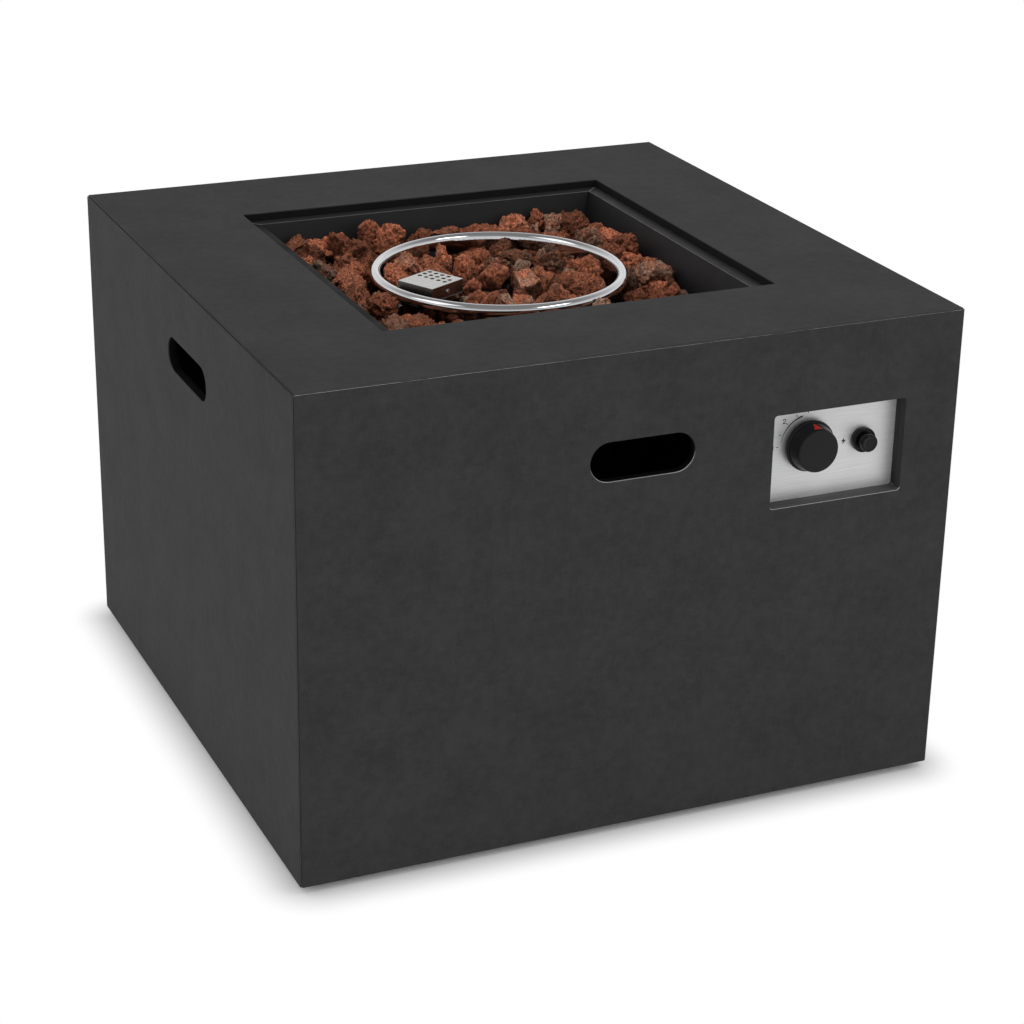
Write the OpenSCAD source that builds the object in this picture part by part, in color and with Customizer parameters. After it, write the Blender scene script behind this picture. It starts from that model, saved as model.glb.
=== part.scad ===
// Square gas fire pit table: five mitred casing panels on corner angles, a drop-in burner pan
// with lava rock, a guard ring, a pilot under its cover, and the controls in the front panel.
// Millimetres, +Z up, origin on the floor under the middle of the casing, front towards -Y.

/* [Casing] */
// Side of the square casing
case_w = 711; // [660:1:800]
// Height of the casing panels
case_h = 511; // [440:1:600]
// Thickness of the casing panels
panel_t = 10; // [9:0.5:13]
// Radius on the casing's outer edges
edge_r = 3; // [1:0.5:5]
// Width of the mitred seams between the panels
seam = 0.8; // [0.2:0.1:1.2]

/* [Hand slots] */
// Length of the front and rear slots
front_slot_l = 113; // [90:1:150]
// Height of the front and rear slots
front_slot_h = 41; // [30:1:50]
// Table top to the middle of the front and rear slots
front_slot_drop = 110.5; // [90:0.5:150]
// Length of the left and right slots
side_slot_l = 132; // [90:1:150]
// Height of the left and right slots
side_slot_h = 37; // [30:1:50]
// Table top to the middle of the left and right slots
side_slot_drop = 85; // [70:0.5:130]
// How far the left and right slots sit towards the front
side_slot_fore = 22; // [0:1:40]

/* [Control recess] */
// Width of the recess in the front panel
recess_w = 150.5; // [140:0.5:160]
// Height of the recess in the front panel
recess_h = 99.5; // [90:0.5:120]
// Casing's right side to the middle of the recess
recess_in = 136.7; // [134:0.1:160]
// Table top to the middle of the recess
recess_drop = 137.3; // [125:0.1:160]
// Corner radius of the recess
recess_r = 3.5; // [1:0.5:6]
// Front face of the casing to the face of the control plate
recess_d = 18; // [15:0.5:22]
// Width of the spacer frame round the recess
spacer_w = 16; // [12:0.5:18]
// Thickness of the control plate
plate_t = 1.2; // [0.8:0.1:2]

/* [Corner angles and feet] */
// Leg of the corner angles
angle_leg = 30; // [24:1:34]
// Thickness of the corner angles
angle_t = 2; // [1.5:0.5:3]
// Side of the end plates of the corner angles
angle_plate = 60; // [56:1:70]
// Thickness of the end plates
angle_plate_t = 3; // [2:0.5:5]
// End of an angle to its first panel screw
angle_screw_end = 60; // [40:1:90]
// Panel screws along each leg
angle_screws_n = 3; // [2:1:5]
// Height of the feet under the casing
foot_h = 8; // [6:0.5:14]
// Radius of the feet
foot_r = 21; // [16:0.5:24]
// Inner corner of the casing to the middle of a foot, along each wall
foot_in = 32; // [30:0.5:35]
// Radius of the foot's stud
foot_stud_r = 4; // [3:0.5:5]

/* [Screws] */
// Radius of the screw shanks
screw_r = 2; // [1.5:0.1:2.4]
// Radius of the screw heads
screw_head_r = 4; // [3.2:0.1:4.5]
// Height of the screw heads
screw_head_h = 2.4; // [1.6:0.1:3]
// Depth of a screw in a panel
screw_grip = 6; // [4:0.5:7.5]
// Gap between a screw and its hole
screw_gap = 0.15; // [0.1:0.05:0.3]
// Height of the small nuts
nut_h = 3; // [2.4:0.1:4]

/* [Burner pan] */
// Side of the square fire opening in the table top
open_w = 432; // [420:1:460]
// Width of the ledge that carries the pan
ledge_w = 14; // [10:0.5:18]
// Overlap of the support frame under the table top
frame_lap = 24; // [18:1:34]
// Thickness of the support frame
frame_t = 2; // [1.5:0.5:3]
// Height of the support frame's inner lip
frame_lip_h = 15; // [8:1:24]
// Spacing of the support frame's screws
frame_screw_pitch = 150; // [100:1:180]
// Thickness of the pan
pan_t = 1.5; // [1:0.1:2]
// Seat of the flange down to the pan's floor
pan_d = 70; // [66:0.5:82]
// Inward run of the pan's walls for each millimetre of depth
pan_slope = 0.23; // [0.1:0.01:0.25]
// Gap round the pan in its seat
pan_gap = 1; // [0.5:0.1:2]

/* [Guard ring] */
// Outer radius of the rolled rim
ring_r = 139; // [137:0.5:142]
// Radius of the rolled rim's bead
bead_r = 6.5; // [5:0.1:7.5]
// Thickness of the ring's sheet
ring_t = 1.2; // [0.8:0.1:1.6]
// Table top to the top of the ring
ring_drop = 21; // [19:0.5:26]
// Open gap at the end of the curl
curl_gap = 2.5; // [1.5:0.1:3.5]
// Turn of the first bracket from +X
bracket_a = 10; // [5:1:20]
// Width of the brackets
bracket_w = 16; // [12:0.5:20]
// Length of the brackets' feet
bracket_l = 11; // [9:0.5:11.5]
// Pan floor to the screws in the ring's wall
bracket_screw_z = 33; // [26:0.5:34]

/* [Burner] */
// Radius of the burner's flat box
burner_r = 90; // [80:0.5:92]
// Height of the flat box
burner_h = 14; // [12:0.5:18]
// Height of the hub under the box
hub_h = 8; // [5:0.5:10]
// Radius of the hub
hub_r = 17; // [14:0.5:22]
// Thickness of the burner's sheet
burner_t = 1.2; // [0.8:0.1:1.6]
// Radius of the gas ports
port_r = 1.3; // [1:0.1:2]
// Radius of the burner's threaded spigot
spigot_r = 10.5; // [9:0.1:12]
// Length of the spigot under the lock nut
spigot_l = 12; // [8:0.5:14]
// Height of the lock nut
locknut_h = 5; // [4:0.5:7]
// Outer radius of the air mixer
mixer_r = 15; // [14:0.5:18]
// Outer radius of the gas pipe
pipe_r = 5; // [4:0.1:5.5]
// Wall of the gas pipe
pipe_t = 1; // [0.6:0.1:1.4]
// Bend radius of the gas pipe
pipe_bend = 40; // [30:1:44]
// Straight length of the gas pipe at the valve
pipe_lead = 11.8; // [8:0.1:30]

/* [Pilot] */
// Ring's middle to the middle of the cover, along X
cover_x = -89; // [-90:0.5:-80]
// Ring's middle to the middle of the cover, along Y
cover_y = -24.8; // [-26:0.1:-14]
// Turn of the cover
cover_a = 28; // [20:1:35]
// Length of the cover
cover_l = 50.5; // [49.5:0.5:52]
// Width of the cover
cover_w = 47; // [46:0.5:49]
// Height of the cover
cover_h = 14; // [13.5:0.5:18]
// Table top to the top of the cover
cover_drop = 18; // [14:0.5:20]
// Thickness of the cover and its bracket
cover_t = 1.2; // [0.8:0.1:1.5]
// Radius of the cover's holes
cover_hole_r = 2.5; // [1.5:0.1:3]
// Spacing of the cover's holes along a row
cover_hole_pitch = 8.2; // [7.5:0.1:9]
// Spacing of the rows of holes
cover_row_pitch = 8.5; // [7:0.1:9]
// Radius of the electrode's insulator and of the flame sensor
rod_r = 3.2; // [2.5:0.1:3.5]
// Middle of the cover to each rod
rod_y = 12; // [10:0.1:13]
// Height of the rods over the shelf
rod_z = 7.5; // [6:0.1:8]

/* [Knob and valve] */
// Recess's middle to the knob's axis, to the left
knob_left = 27; // [24:0.5:30]
// Recess's middle up to the knob's axis
knob_up = 8.5; // [4:0.5:12]
// Radius of the knob's skirt
skirt_r = 27; // [24:0.5:29]
// Thickness of the knob's skirt
skirt_t = 4.5; // [3:0.1:6]
// Gap between the knob and the plate at rest
knob_lift = 5; // [4.8:0.1:6]
// Radius of the knob's body at the skirt
body_r = 25; // [23:0.5:25.5]
// Radius of the knob's body at the cap
cap_r = 22.5; // [20:0.5:23]
// Plate to the knob's cap
knob_h = 26; // [24:0.5:30]
// Width of the pointer
pointer_w = 8.6; // [6:0.1:10]
// Length of the pointer
pointer_l = 10; // [8:0.1:11]
// Travel of the knob when it is pushed
push_travel = 4; // [3:0.1:4]
// Radius of the stem
stem_r = 4; // [3.5:0.1:4.2]
// Running gap round the stem, plug and push pin
run_gap = 0.06; // [0.03:0.01:0.1]
// Radius of the valve's nose
nose_r = 7; // [6.5:0.1:7.4]
// Side of the valve's body
valve_w = 36; // [32:0.5:40]
// Length of the valve's body
valve_l = 46; // [46:0.5:52]
// Radius of the valve's plug
plug_r = 8; // [7.5:0.1:9]
// Radius of the push pin
pin_r = 2; // [1.6:0.1:2.2]
// Outer radius of the gas inlet's thread
inlet_r = 7.9; // [7:0.1:8.5]
// Length of the gas inlet's thread
inlet_l = 18; // [14:0.5:24]

/* [Igniter] */
// Recess's middle to the igniter's axis, to the right
igniter_right = 37; // [34:0.5:40]
// Recess's middle up to the igniter's axis
igniter_up = 5; // [0:0.5:8]
// Radius of the igniter's collar
collar_r = 13; // [12.4:0.1:14]
// Thickness of the collar
collar_t = 7; // [6:0.1:8]
// Radius of the button
button_r = 9.2; // [8.5:0.1:9.4]
// Plate to the face of the button
button_h = 17; // [16:0.5:20]
// Travel of the button
button_travel = 6; // [4:0.5:7]
// Length of the igniter's barrel
barrel_l = 45; // [42:0.5:50]

/* [Lava rock] */
// Largest radius of a rock
rock_r = 18; // [14:0.5:20]
// Smallest radius of a rock
rock_small_r = 7; // [6:0.5:10]
// Gap between rocks
rock_gap = 0.6; // [0.5:0.1:2]
// Lowest rock on the pan's floor
rock_low = 34; // [28:1:38]
// Highest rock on the pan's floor
rock_high = 50; // [40:1:51]
// Lowest rock on the burner
top_rock_low = 18; // [14:1:22]
// Highest rock on the burner
top_rock_high = 29; // [24:1:30]
// Start of the random shapes
rock_seed = 11; // [1:1:99]

/* [Hidden] */
$fn = 48;

// Levels
z_low = foot_h;
z_top = foot_h + case_h;
z_seat = z_top - panel_t;
z_floor = z_seat - pan_d;
z_under = z_floor - pan_t;
half = case_w / 2;
inside = half - panel_t;
mitre = seam / sqrt(2);
past = 1;

// Control plate and its axes
y_plate = recess_d - half;
y_behind = y_plate + plate_t;
recess_x = half - recess_in;
recess_z = z_top - recess_drop;
knob_x = recess_x - knob_left;
knob_z = recess_z + knob_up;
igniter_x = recess_x + igniter_right;
igniter_z = recess_z + igniter_up;
spacer_d = recess_d - panel_t;
plate_screw_x = recess_w / 2 + spacer_w / 2;
plate_screw_z = recess_h / 2 + spacer_w / 2;

// Corner angle screws
angle_l = z_seat - z_low;
angle_screw_step = (angle_l - 2 * angle_screw_end) / (angle_screws_n - 1);
angle_screw_x = inside - angle_t - (angle_leg - angle_t) / 2;
head_taper = 0.75;

// Foot studs
stud_over = 10;
foot_lip = 2;
foot_nut_r = 1.85 * foot_stud_r;
foot_nut_h = 1.6 * foot_stud_r;

// Pan, ring and burner
ledge_in = open_w - 2 * ledge_w;
frame_screw_r = open_w / 2 + frame_lap / 2;
ring_in = ring_r - 2 * bead_r;
ring_out = ring_in + ring_t;
bead_mid = ring_r - bead_r;
bead_z = z_top - ring_drop - bead_r;
bracket_t = 1.5;
bracket_off = 0.2;
bracket_over = 5;
bracket_h = bracket_screw_z + bracket_over;
bracket_screw_r = ring_out + bracket_off + bracket_t + (bracket_l - bracket_t) / 2;
burner_z = z_floor + hub_h;
burner_top = burner_z + burner_h;
burner_edge = 5;
port_rings = [[30, 8], [52, 14], [74, 20]];
gas_bore = 5;
thread_gap = 0.2;
locknut_r = 1.75 * spigot_r;

// Air mixer and elbow: the elbow lies on the height of the valve's axis
elbow_w = 18;
elbow_stub_r = 6.5;
mixer_clear = 0.5;
jet_l = 12;
jet_tip_l = 6;
jet_tip_r = 3;
jet_bore = 1;
mixer_seat = 4;
mixer_throat_r = 8.5;
window_w = 9;
window_up = 6;
window_h = 10;
mixer_top = z_under - locknut_h;
mixer_low = knob_z + elbow_w / 2;

// Valve
nose_l = 6;
nut_t = 3.8;
nut_r = 11;
valve_edge = 5;
outlet_u = 30;
outlet_l = 12;
outlet_r = 6.5;
bore_u = 12;
chamber_u = 34;
blade_t = 2.8;
blade_w = 7.2;
blade_gap = 0.2;
blade_end = 20;
flat_cut = 1;
hub_out = 7;
hub_back = 11;
cavity_top = 14;
cavity_r = 19;
groove_w = 1.5;
groove_d = 1;
skirt_under = 1;
skirt_over = 1.5;
cap_edge = 2;
body_low = knob_lift + skirt_t + groove_w;
body_high = knob_h - cap_edge;
dome = 0.6;
dome_at = 0.6;
dome_drop = 0.35;
pointer_in = 2.5;
pointer_in_d = 0.7;
pointer_proud = 0.15;
pointer_gap = 0.1;
magnet_r = 9;
magnet_l = 22;
magnet_cap_r = 7.2;
magnet_cap_l = 9;
pin_over = 4;
pin_end = valve_l + pin_over;
plug_end_gap = 0.3;
plug_port_u = 29;
plug_port_r = 1.5;
stem_cover = 3;
stem_top = knob_h - stem_cover;
fitting_hex = 10.5;
fitting_hex_h = 8;
fitting_root_r = 5.5;
fitting_root_l = 9;
flare_hex = 10.5;
flare_l = 15;
flare_on = 8;
pipe_y = y_behind + outlet_u;
pipe_x = knob_x - valve_w / 2 - outlet_l;
elbow_stub_l = mixer_r + mixer_clear + flare_on - elbow_w / 2;
pipe_run = pipe_x - pipe_lead - pipe_bend;
pipe_end = elbow_w / 2 + elbow_stub_l;
gas_way_r = 3;

// Igniter
neck_r = button_r + run_gap + 1.6;
neck_l = 6;
barrel_r = 11.5;
barrel_flange_r = 14;
barrel_flange_t = 3;
barrel_bore_u = 32;
button_back = 14;
terminal_l = 8;
terminal_w = 6;
terminal_t = 1;
collar_lip = 1.5;
button_lip = 1.4;
button_dish = 0.5;
dish_r = 5.5;
dish_edge = 1.1;

// Pilot
shelf_z = z_top - cover_drop - cover_h;
tab_l = 4.5;
tab_w = 16;
leg_w = 12;
upright_x = -4;
upright_h = 12;
rod_back = -12;
rod_l = 20;
tip_r = 1;
tip_l = 14;
sensor_tip_r = 1.9;
sensor_tip_l = 11;
lead_x = -20;
lead_hole_r = 3;
cover_first_x = 3.5;
cover_first_y = 17.5;
cover_rows = [3, 3, 3, 3, 2];
tab_screw_z = 6;
side_tab_w = 12;
side_tab_h = 10;
small_r = 1.3;
small_head_r = 2.6;
small_head_h = 1.6;

// Springs and leads
knob_coil_r = 9.1;
button_coil_r = 6;
knob_coil_turns = 4;
button_coil_turns = 5;
wire_r = 0.6;
seat_gap = 0.15;
coil_steps = 8;
coil_sides = 6;
lead_steps = 3;
lead_sides = 8;
ignition_lead_r = 1.5;
sensor_lead_r = 1.2;
lead_drop = 14;
// Turn of a lead from its rod into its hole, as shares of the way back and of the way down
lead_turn = [[0, 0], [0.5, 0.06], [0.89, 0.38], [1, 1]];
// Ways of the leads under the pan, as shares of the run along X, Y and Z
ignition_way = [[0.04, 0.09, 0.31], [0.14, 0.32, 0.37], [0.34, 0.6, 0.39], [0.59, 0.8, 0.39],
    [0.82, 0.9, 0.42], [0.94, 0.93, 0.6], [0.99, 0.94, 0.89], [1, 0.96, 1]];
sensor_way = [[0.05, 0.08, 0.37], [0.22, 0.32, 0.46], [0.57, 0.65, 0.58], [0.83, 0.82, 0.8],
    [0.955, 0.88, 0.98], [0.994, 0.93, 1], [1, 0.96, 1]];
ignition_end = [igniter_x, y_behind + barrel_l + terminal_l, igniter_z];
sensor_end = [knob_x, y_behind + valve_l + magnet_l, knob_z];

// Lava rock: sides, share of the height and of the width at each belt, and how rough it is
rock_sides = 8;
rock_belts = [[0, 0.82], [0.36, 1], [0.78, 0.8]];
rock_rough = 0.24;
rock_swing = 18;
rock_lean = 0.2;
rock_peak = 0.6;
rock_tall = 2.7;
rock_tries = 4000;
rock_shrink = 2;

// Plain helpers

// Rectangle with rounded corners, centred
module round_rect(w, h, r) {
    square([w - 2 * r, h], center = true);
    square([w, h - 2 * r], center = true);
    for (x = [-1, 1], y = [-1, 1]) translate([x * (w / 2 - r), y * (h / 2 - r)]) circle(r);
}

// Slot with round ends, centred
module stadium(l, h) {
    square([l - h, h], center = true);
    for (x = [-1, 1]) translate([x * (l - h) / 2, 0]) circle(h / 2);
}

// Square ring plate between two widths, from one level to another
module square_ring(outer, inner, z0, z1) {
    translate([0, 0, z0]) linear_extrude(z1 - z0) difference() {
        square(outer, center = true);
        square(inner, center = true);
    }
}

// Square block with sloping walls between two levels
module frustum(w0, w1, z0, z1) {
    side = [[-w0 / 2, z0], [w0 / 2, z0], [w1 / 2, z1], [-w1 / 2, z1]];
    reach = max(w0, w1) + 2 * past;
    intersection() {
        rotate([90, 0, 0]) linear_extrude(reach, center = true) polygon(side);
        rotate([90, 0, 90]) linear_extrude(reach, center = true) polygon(side);
    }
}

// Screw along +Z, its head under the origin
module screw(l, r = screw_r, head_r = screw_head_r, head_h = screw_head_h) {
    cylinder(r = r, h = l);
    translate([0, 0, -head_h]) cylinder(r1 = head_r * head_taper, r2 = head_r, h = head_h);
}

// Hexagon nut along +Z
module hex_nut(r, h, bore) {
    difference() {
        cylinder(r = r, h = h, $fn = 6);
        translate([0, 0, -past]) cylinder(r = bore, h = h + 2 * past);
    }
}

// Places along the valve's and the igniter's axes: local Z runs back from the plate's face
module at_knob() {
    translate([knob_x, y_plate, knob_z]) rotate([-90, 0, 0]) children();
}

module at_igniter() {
    translate([igniter_x, y_plate, igniter_z]) rotate([-90, 0, 0]) children();
}

// Middle of the pilot cover on the pilot shelf
module at_pilot() {
    translate([cover_x, cover_y, shelf_z]) rotate([0, 0, cover_a]) children();
}

// Casing

// The casing's outer form with rounded edges
module casing_profile() {
    translate([-half, 0]) square([case_w, z_top - edge_r]);
    translate([edge_r - half, 0]) square([case_w - 2 * edge_r, z_top]);
    for (x = [-1, 1]) translate([x * (half - edge_r), z_top - edge_r]) circle(edge_r);
}

module casing_form() {
    intersection() {
        linear_extrude(z_top) round_rect(case_w, case_w, edge_r);
        rotate([90, 0, 0]) linear_extrude(case_w + 2 * past, center = true) casing_profile();
        rotate([90, 0, 90]) linear_extrude(case_w + 2 * past, center = true) casing_profile();
    }
}

// Blank of a side panel, facing -Y, mitred to its neighbours and to the top
module side_blank() {
    e = half - mitre;
    i = inside - mitre;
    intersection() {
        casing_form();
        translate([0, 0, z_low]) linear_extrude(case_h + past)
            polygon([[-e, -half], [e, -half], [i, -inside], [-i, -inside]]);
        rotate([90, 0, 90]) linear_extrude(case_w + 2 * past, center = true) polygon([[-half, z_low],
            [-half, z_top - mitre], [-inside, z_seat - mitre], [-inside, z_low]]);
    }
}

// Places of the corner angle screws on the panel that faces -Y, local Z into the panel
module at_angle_screws() {
    for (x = [-1, 1], n = [0 : angle_screws_n - 1])
        translate([x * angle_screw_x, -inside, z_low + angle_screw_end + n * angle_screw_step])
            rotate([90, 0, 0]) children();
}

module pilot_hole() {
    translate([0, 0, -past]) cylinder(r = screw_r + screw_gap, h = screw_grip + past + screw_gap);
}

// Side panel that faces -Y, with a hand slot
module side_panel(slot_x, slot_l, slot_h, slot_drop) {
    difference() {
        side_blank();
        translate([slot_x, past - inside, z_top - slot_drop]) rotate([90, 0, 0])
            linear_extrude(panel_t + 2 * past) stadium(slot_l, slot_h);
        at_angle_screws() pilot_hole();
    }
}

// Places of the control plate's screws, local Z into the front panel
module at_plate_screws() {
    for (x = [-1, 1], z = [-1, 1])
        translate([recess_x + x * plate_screw_x, -inside, recess_z + z * plate_screw_z])
            rotate([90, 0, 0]) children();
}

module front_panel() {
    color("#3a3a3b") difference() {
        side_panel(0, front_slot_l, front_slot_h, front_slot_drop);
        translate([recess_x, past - inside, recess_z]) rotate([90, 0, 0])
            linear_extrude(panel_t + 2 * past) round_rect(recess_w, recess_h, recess_r);
        at_plate_screws() pilot_hole();
    }
}

module rear_panel() {
    color("#3a3a3b") rotate(180) side_panel(0, front_slot_l, front_slot_h, front_slot_drop);
}

module left_panel() {
    color("#3a3a3b") rotate(-90) side_panel(side_slot_fore, side_slot_l, side_slot_h, side_slot_drop);
}

module right_panel() {
    color("#3a3a3b") rotate(90) side_panel(-side_slot_fore, side_slot_l, side_slot_h, side_slot_drop);
}

// Places of the support frame's screws under the table top, local Z up
module at_frame_screws() {
    for (a = [0 : 90 : 270], x = [-1 : 1]) rotate(a)
        translate([x * frame_screw_pitch, -frame_screw_r, z_seat]) children();
}

// Places of the screws in the corner angles' upper end plates, local Z up
module at_top_screws() {
    for (a = [0 : 90 : 270]) rotate(a)
        translate([foot_in - inside, foot_in - inside, z_seat]) children();
}

module top_panel() {
    e = half - mitre;
    i = inside - mitre;
    side = [[-e, z_top + past], [-e, z_top], [-i, z_seat], [i, z_seat], [e, z_top], [e, z_top + past]];
    color("#414142") difference() {
        intersection() {
            casing_form();
            rotate([90, 0, 0]) linear_extrude(case_w, center = true) polygon(side);
            rotate([90, 0, 90]) linear_extrude(case_w, center = true) polygon(side);
        }
        translate([0, 0, z_seat - past]) linear_extrude(panel_t + 2 * past) square(open_w, center = true);
        at_frame_screws() pilot_hole();
        at_top_screws() pilot_hole();
    }
}

// Corner angle at the front left, with an end plate for the foot and one for the table top
module corner_angle() {
    color("#2b2c2e") difference() {
        translate([-inside, -inside, z_low]) {
            linear_extrude(angle_l) {
                square([angle_leg, angle_t]);
                square([angle_t, angle_leg]);
            }
            linear_extrude(angle_plate_t) square(angle_plate);
            translate([0, 0, angle_l - angle_plate_t]) linear_extrude(angle_plate_t) square(angle_plate);
        }
        translate([foot_in - inside, foot_in - inside, z_low - past])
            cylinder(r = foot_stud_r + thread_gap, h = angle_plate_t + 2 * past);
        translate([foot_in - inside, foot_in - inside, z_seat - angle_plate_t - past])
            cylinder(r = screw_r + screw_gap, h = angle_plate_t + 2 * past);
        for (a = [0, -90]) rotate(a) at_angle_screws() translate([0, 0, -angle_t - past])
            cylinder(r = screw_r + screw_gap, h = angle_t + past);
    }
}

module angle_screws() {
    color("silver") {
        for (a = [0 : 90 : 270]) rotate(a) at_angle_screws()
            translate([0, 0, -angle_t]) screw(angle_t + screw_grip);
        at_top_screws() translate([0, 0, -angle_plate_t]) screw(angle_plate_t + screw_grip);
    }
}

// Foot at the front left: a moulded glide with its stud
module foot() {
    color("#1c1c1d") translate([foot_in - inside, foot_in - inside, 0]) {
        rotate_extrude() polygon([[0, 0], [foot_r - foot_lip, 0], [foot_r, foot_lip], [foot_r, foot_h],
            [0, foot_h]]);
        cylinder(r = foot_stud_r, h = foot_h + angle_plate_t + stud_over);
    }
}

module foot_nuts() {
    color("silver") for (a = [0 : 90 : 270]) rotate(a)
        translate([foot_in - inside, foot_in - inside, z_low + angle_plate_t])
            hex_nut(foot_nut_r, foot_nut_h, foot_stud_r + thread_gap);
}

// Burner pan

module pan_support_frame() {
    color("#252628") difference() {
        union() {
            square_ring(open_w + 2 * frame_lap, ledge_in, z_seat - frame_t, z_seat);
            square_ring(ledge_in + 2 * frame_t, ledge_in, z_seat - frame_lip_h, z_seat);
        }
        at_frame_screws() translate([0, 0, -frame_t - past])
            cylinder(r = screw_r + screw_gap, h = frame_t + 2 * past);
    }
}

module frame_screws() {
    color("silver") at_frame_screws() translate([0, 0, -frame_t]) screw(frame_t + screw_grip);
}

function pan_w(z) = ledge_in - 2 * pan_gap - 2 * (z_seat - z) * pan_slope;

// Places of the ring's brackets: local X runs out from the ring's axis
module at_brackets() {
    for (a = [0 : 90 : 270]) rotate(bracket_a + a) translate([0, 0, z_floor]) children();
}

// Places of the two leads beside the pilot's rods
module at_leads() {
    at_pilot() for (y = [-1, 1]) translate([lead_x, y * rod_y, 0]) children();
}

// Place of the pilot bracket's foot screw on the pan floor
module at_leg_screw() {
    translate([cover_x, cover_y, z_floor]) rotate(cover_a)
        translate([-cover_l / 2 - tab_l + leg_w / 2, 0, 0]) children();
}

module floor_hole(r) {
    translate([0, 0, -pan_t - past]) cylinder(r = r, h = pan_t + 2 * past);
}

// The pan is welded of a floor and four walls
module pan_floor() {
    color("#1f2022") difference() {
        frustum(pan_w(z_under), pan_w(z_floor), z_under, z_floor);
        translate([0, 0, z_floor]) floor_hole(spigot_r + thread_gap);
        at_brackets() translate([bracket_screw_r, 0, 0]) floor_hole(screw_r + screw_gap);
        at_leg_screw() floor_hole(screw_r + screw_gap);
        at_leads() translate([0, 0, z_floor - shelf_z]) floor_hole(lead_hole_r);
    }
}

// Front wall with its flange, mitred to its neighbours
module pan_wall() {
    color("#1f2022") intersection() {
        rotate([90, 0, 90]) linear_extrude(open_w, center = true) polygon([
            [-pan_w(z_floor) / 2, z_floor],
            [pan_t - pan_w(z_floor) / 2, z_floor],
            [pan_t - pan_w(z_seat + pan_t) / 2, z_seat + pan_t],
            [pan_gap - open_w / 2, z_seat + pan_t],
            [pan_gap - open_w / 2, z_seat],
            [-pan_w(z_seat) / 2, z_seat]]);
        linear_extrude(z_top) polygon([[0, 0], [-open_w, -open_w], [open_w, -open_w]]);
    }
}

// Guard ring, its rim rolled outward
module guard_ring() {
    color("#d4d5d7") difference() {
        rotate_extrude($fn = 96) difference() {
            union() {
                translate([bead_mid, bead_z]) circle(bead_r);
                translate([ring_in, z_floor]) square([ring_t, bead_z - z_floor]);
            }
            translate([bead_mid, bead_z]) circle(bead_r - ring_t);
            translate([ring_out, bead_z - bead_r - past]) square([curl_gap, bead_r]);
        }
        at_brackets() translate([ring_in - past, 0, bracket_screw_z]) rotate([0, 90, 0])
            cylinder(r = screw_r + screw_gap, h = ring_t + 2 * past);
    }
}

module ring_brackets() {
    color("#b9bbbd") at_brackets() difference() {
        translate([ring_out + bracket_off, -bracket_w / 2, 0]) {
            cube([bracket_l, bracket_w, bracket_t]);
            cube([bracket_t, bracket_w, bracket_h]);
        }
        translate([bracket_screw_r, 0, -past]) cylinder(r = screw_r + screw_gap, h = bracket_t + 2 * past);
        translate([ring_out, 0, bracket_screw_z]) rotate([0, 90, 0])
            cylinder(r = screw_r + screw_gap, h = bracket_t + past);
    }
}

module ring_screws() {
    color("#c9cacc") {
        at_brackets() {
            translate([ring_in - bracket_off, 0, bracket_screw_z]) rotate([0, 90, 0])
                screw(ring_t + 2 * bracket_off + bracket_t + nut_h);
            translate([bracket_screw_r, 0, bracket_t]) mirror([0, 0, 1])
                screw(bracket_t + pan_t + nut_h + past);
        }
        at_leg_screw() translate([0, 0, cover_t]) mirror([0, 0, 1]) screw(cover_t + pan_t + nut_h + past);
    }
}

module ring_nuts() {
    color("#c9cacc") {
        at_brackets() {
            translate([ring_out + bracket_off + bracket_t, 0, bracket_screw_z]) rotate([0, 90, 0])
                hex_nut(screw_head_r, nut_h, screw_r + screw_gap);
            translate([bracket_screw_r, 0, -pan_t - nut_h])
                hex_nut(screw_head_r, nut_h, screw_r + screw_gap);
        }
        at_leg_screw() translate([0, 0, -pan_t - nut_h])
            hex_nut(screw_head_r, nut_h, screw_r + screw_gap);
    }
}

// Burner

// Outline of the burner's flat box from its axis, with a round edge
module box_outline(r, h, edge) {
    square([r - edge, h]);
    translate([0, edge]) square([r, h - 2 * edge]);
    for (z = [edge, h - edge]) translate([r - edge, z]) circle(edge);
}

module gas_burner() {
    color("#a8a9ab") translate([0, 0, z_floor]) difference() {
        rotate_extrude($fn = 96) difference() {
            union() {
                translate([0, hub_h]) intersection() {
                    box_outline(burner_r, burner_h, burner_edge);
                    square([burner_r, burner_h]);
                }
                square([hub_r, hub_h + past]);
                translate([0, -pan_t - locknut_h - spigot_l])
                    square([spigot_r, pan_t + locknut_h + spigot_l]);
            }
            translate([0, hub_h + burner_t]) intersection() {
                box_outline(burner_r - burner_t, burner_h - 2 * burner_t, burner_edge - burner_t);
                square([burner_r, burner_h]);
            }
        }
        translate([0, 0, -pan_t - locknut_h - spigot_l - past])
            cylinder(r = gas_bore, h = pan_t + locknut_h + spigot_l + hub_h + burner_t + 2 * past);
        for (p = port_rings, n = [1 : p[1]]) rotate(n * 360 / p[1])
            translate([p[0], 0, hub_h + burner_h - burner_t - past])
                cylinder(r = port_r, h = burner_t + 2 * past);
    }
}

module burner_locknut() {
    color("#b08d4a") translate([0, 0, mixer_top]) hex_nut(locknut_r, locknut_h, spigot_r + thread_gap);
}

// Air mixer under the pan, with two windows for air
module air_mixer() {
    color("#9b9da0") difference() {
        translate([0, 0, mixer_low]) cylinder(r = mixer_r, h = mixer_top - mixer_low);
        translate([0, 0, mixer_top - spigot_l - thread_gap])
            cylinder(r = spigot_r + thread_gap, h = spigot_l + thread_gap + past);
        translate([0, 0, mixer_low + mixer_seat]) cylinder(r = mixer_throat_r, h = mixer_top - mixer_low);
        translate([0, 0, mixer_low - past])
            cylinder(r = elbow_stub_r + thread_gap, h = mixer_seat + 2 * past);
        translate([-mixer_r - past, -window_w / 2, mixer_low + window_up])
            cube([2 * mixer_r + 2 * past, window_w, window_h]);
    }
}

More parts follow.
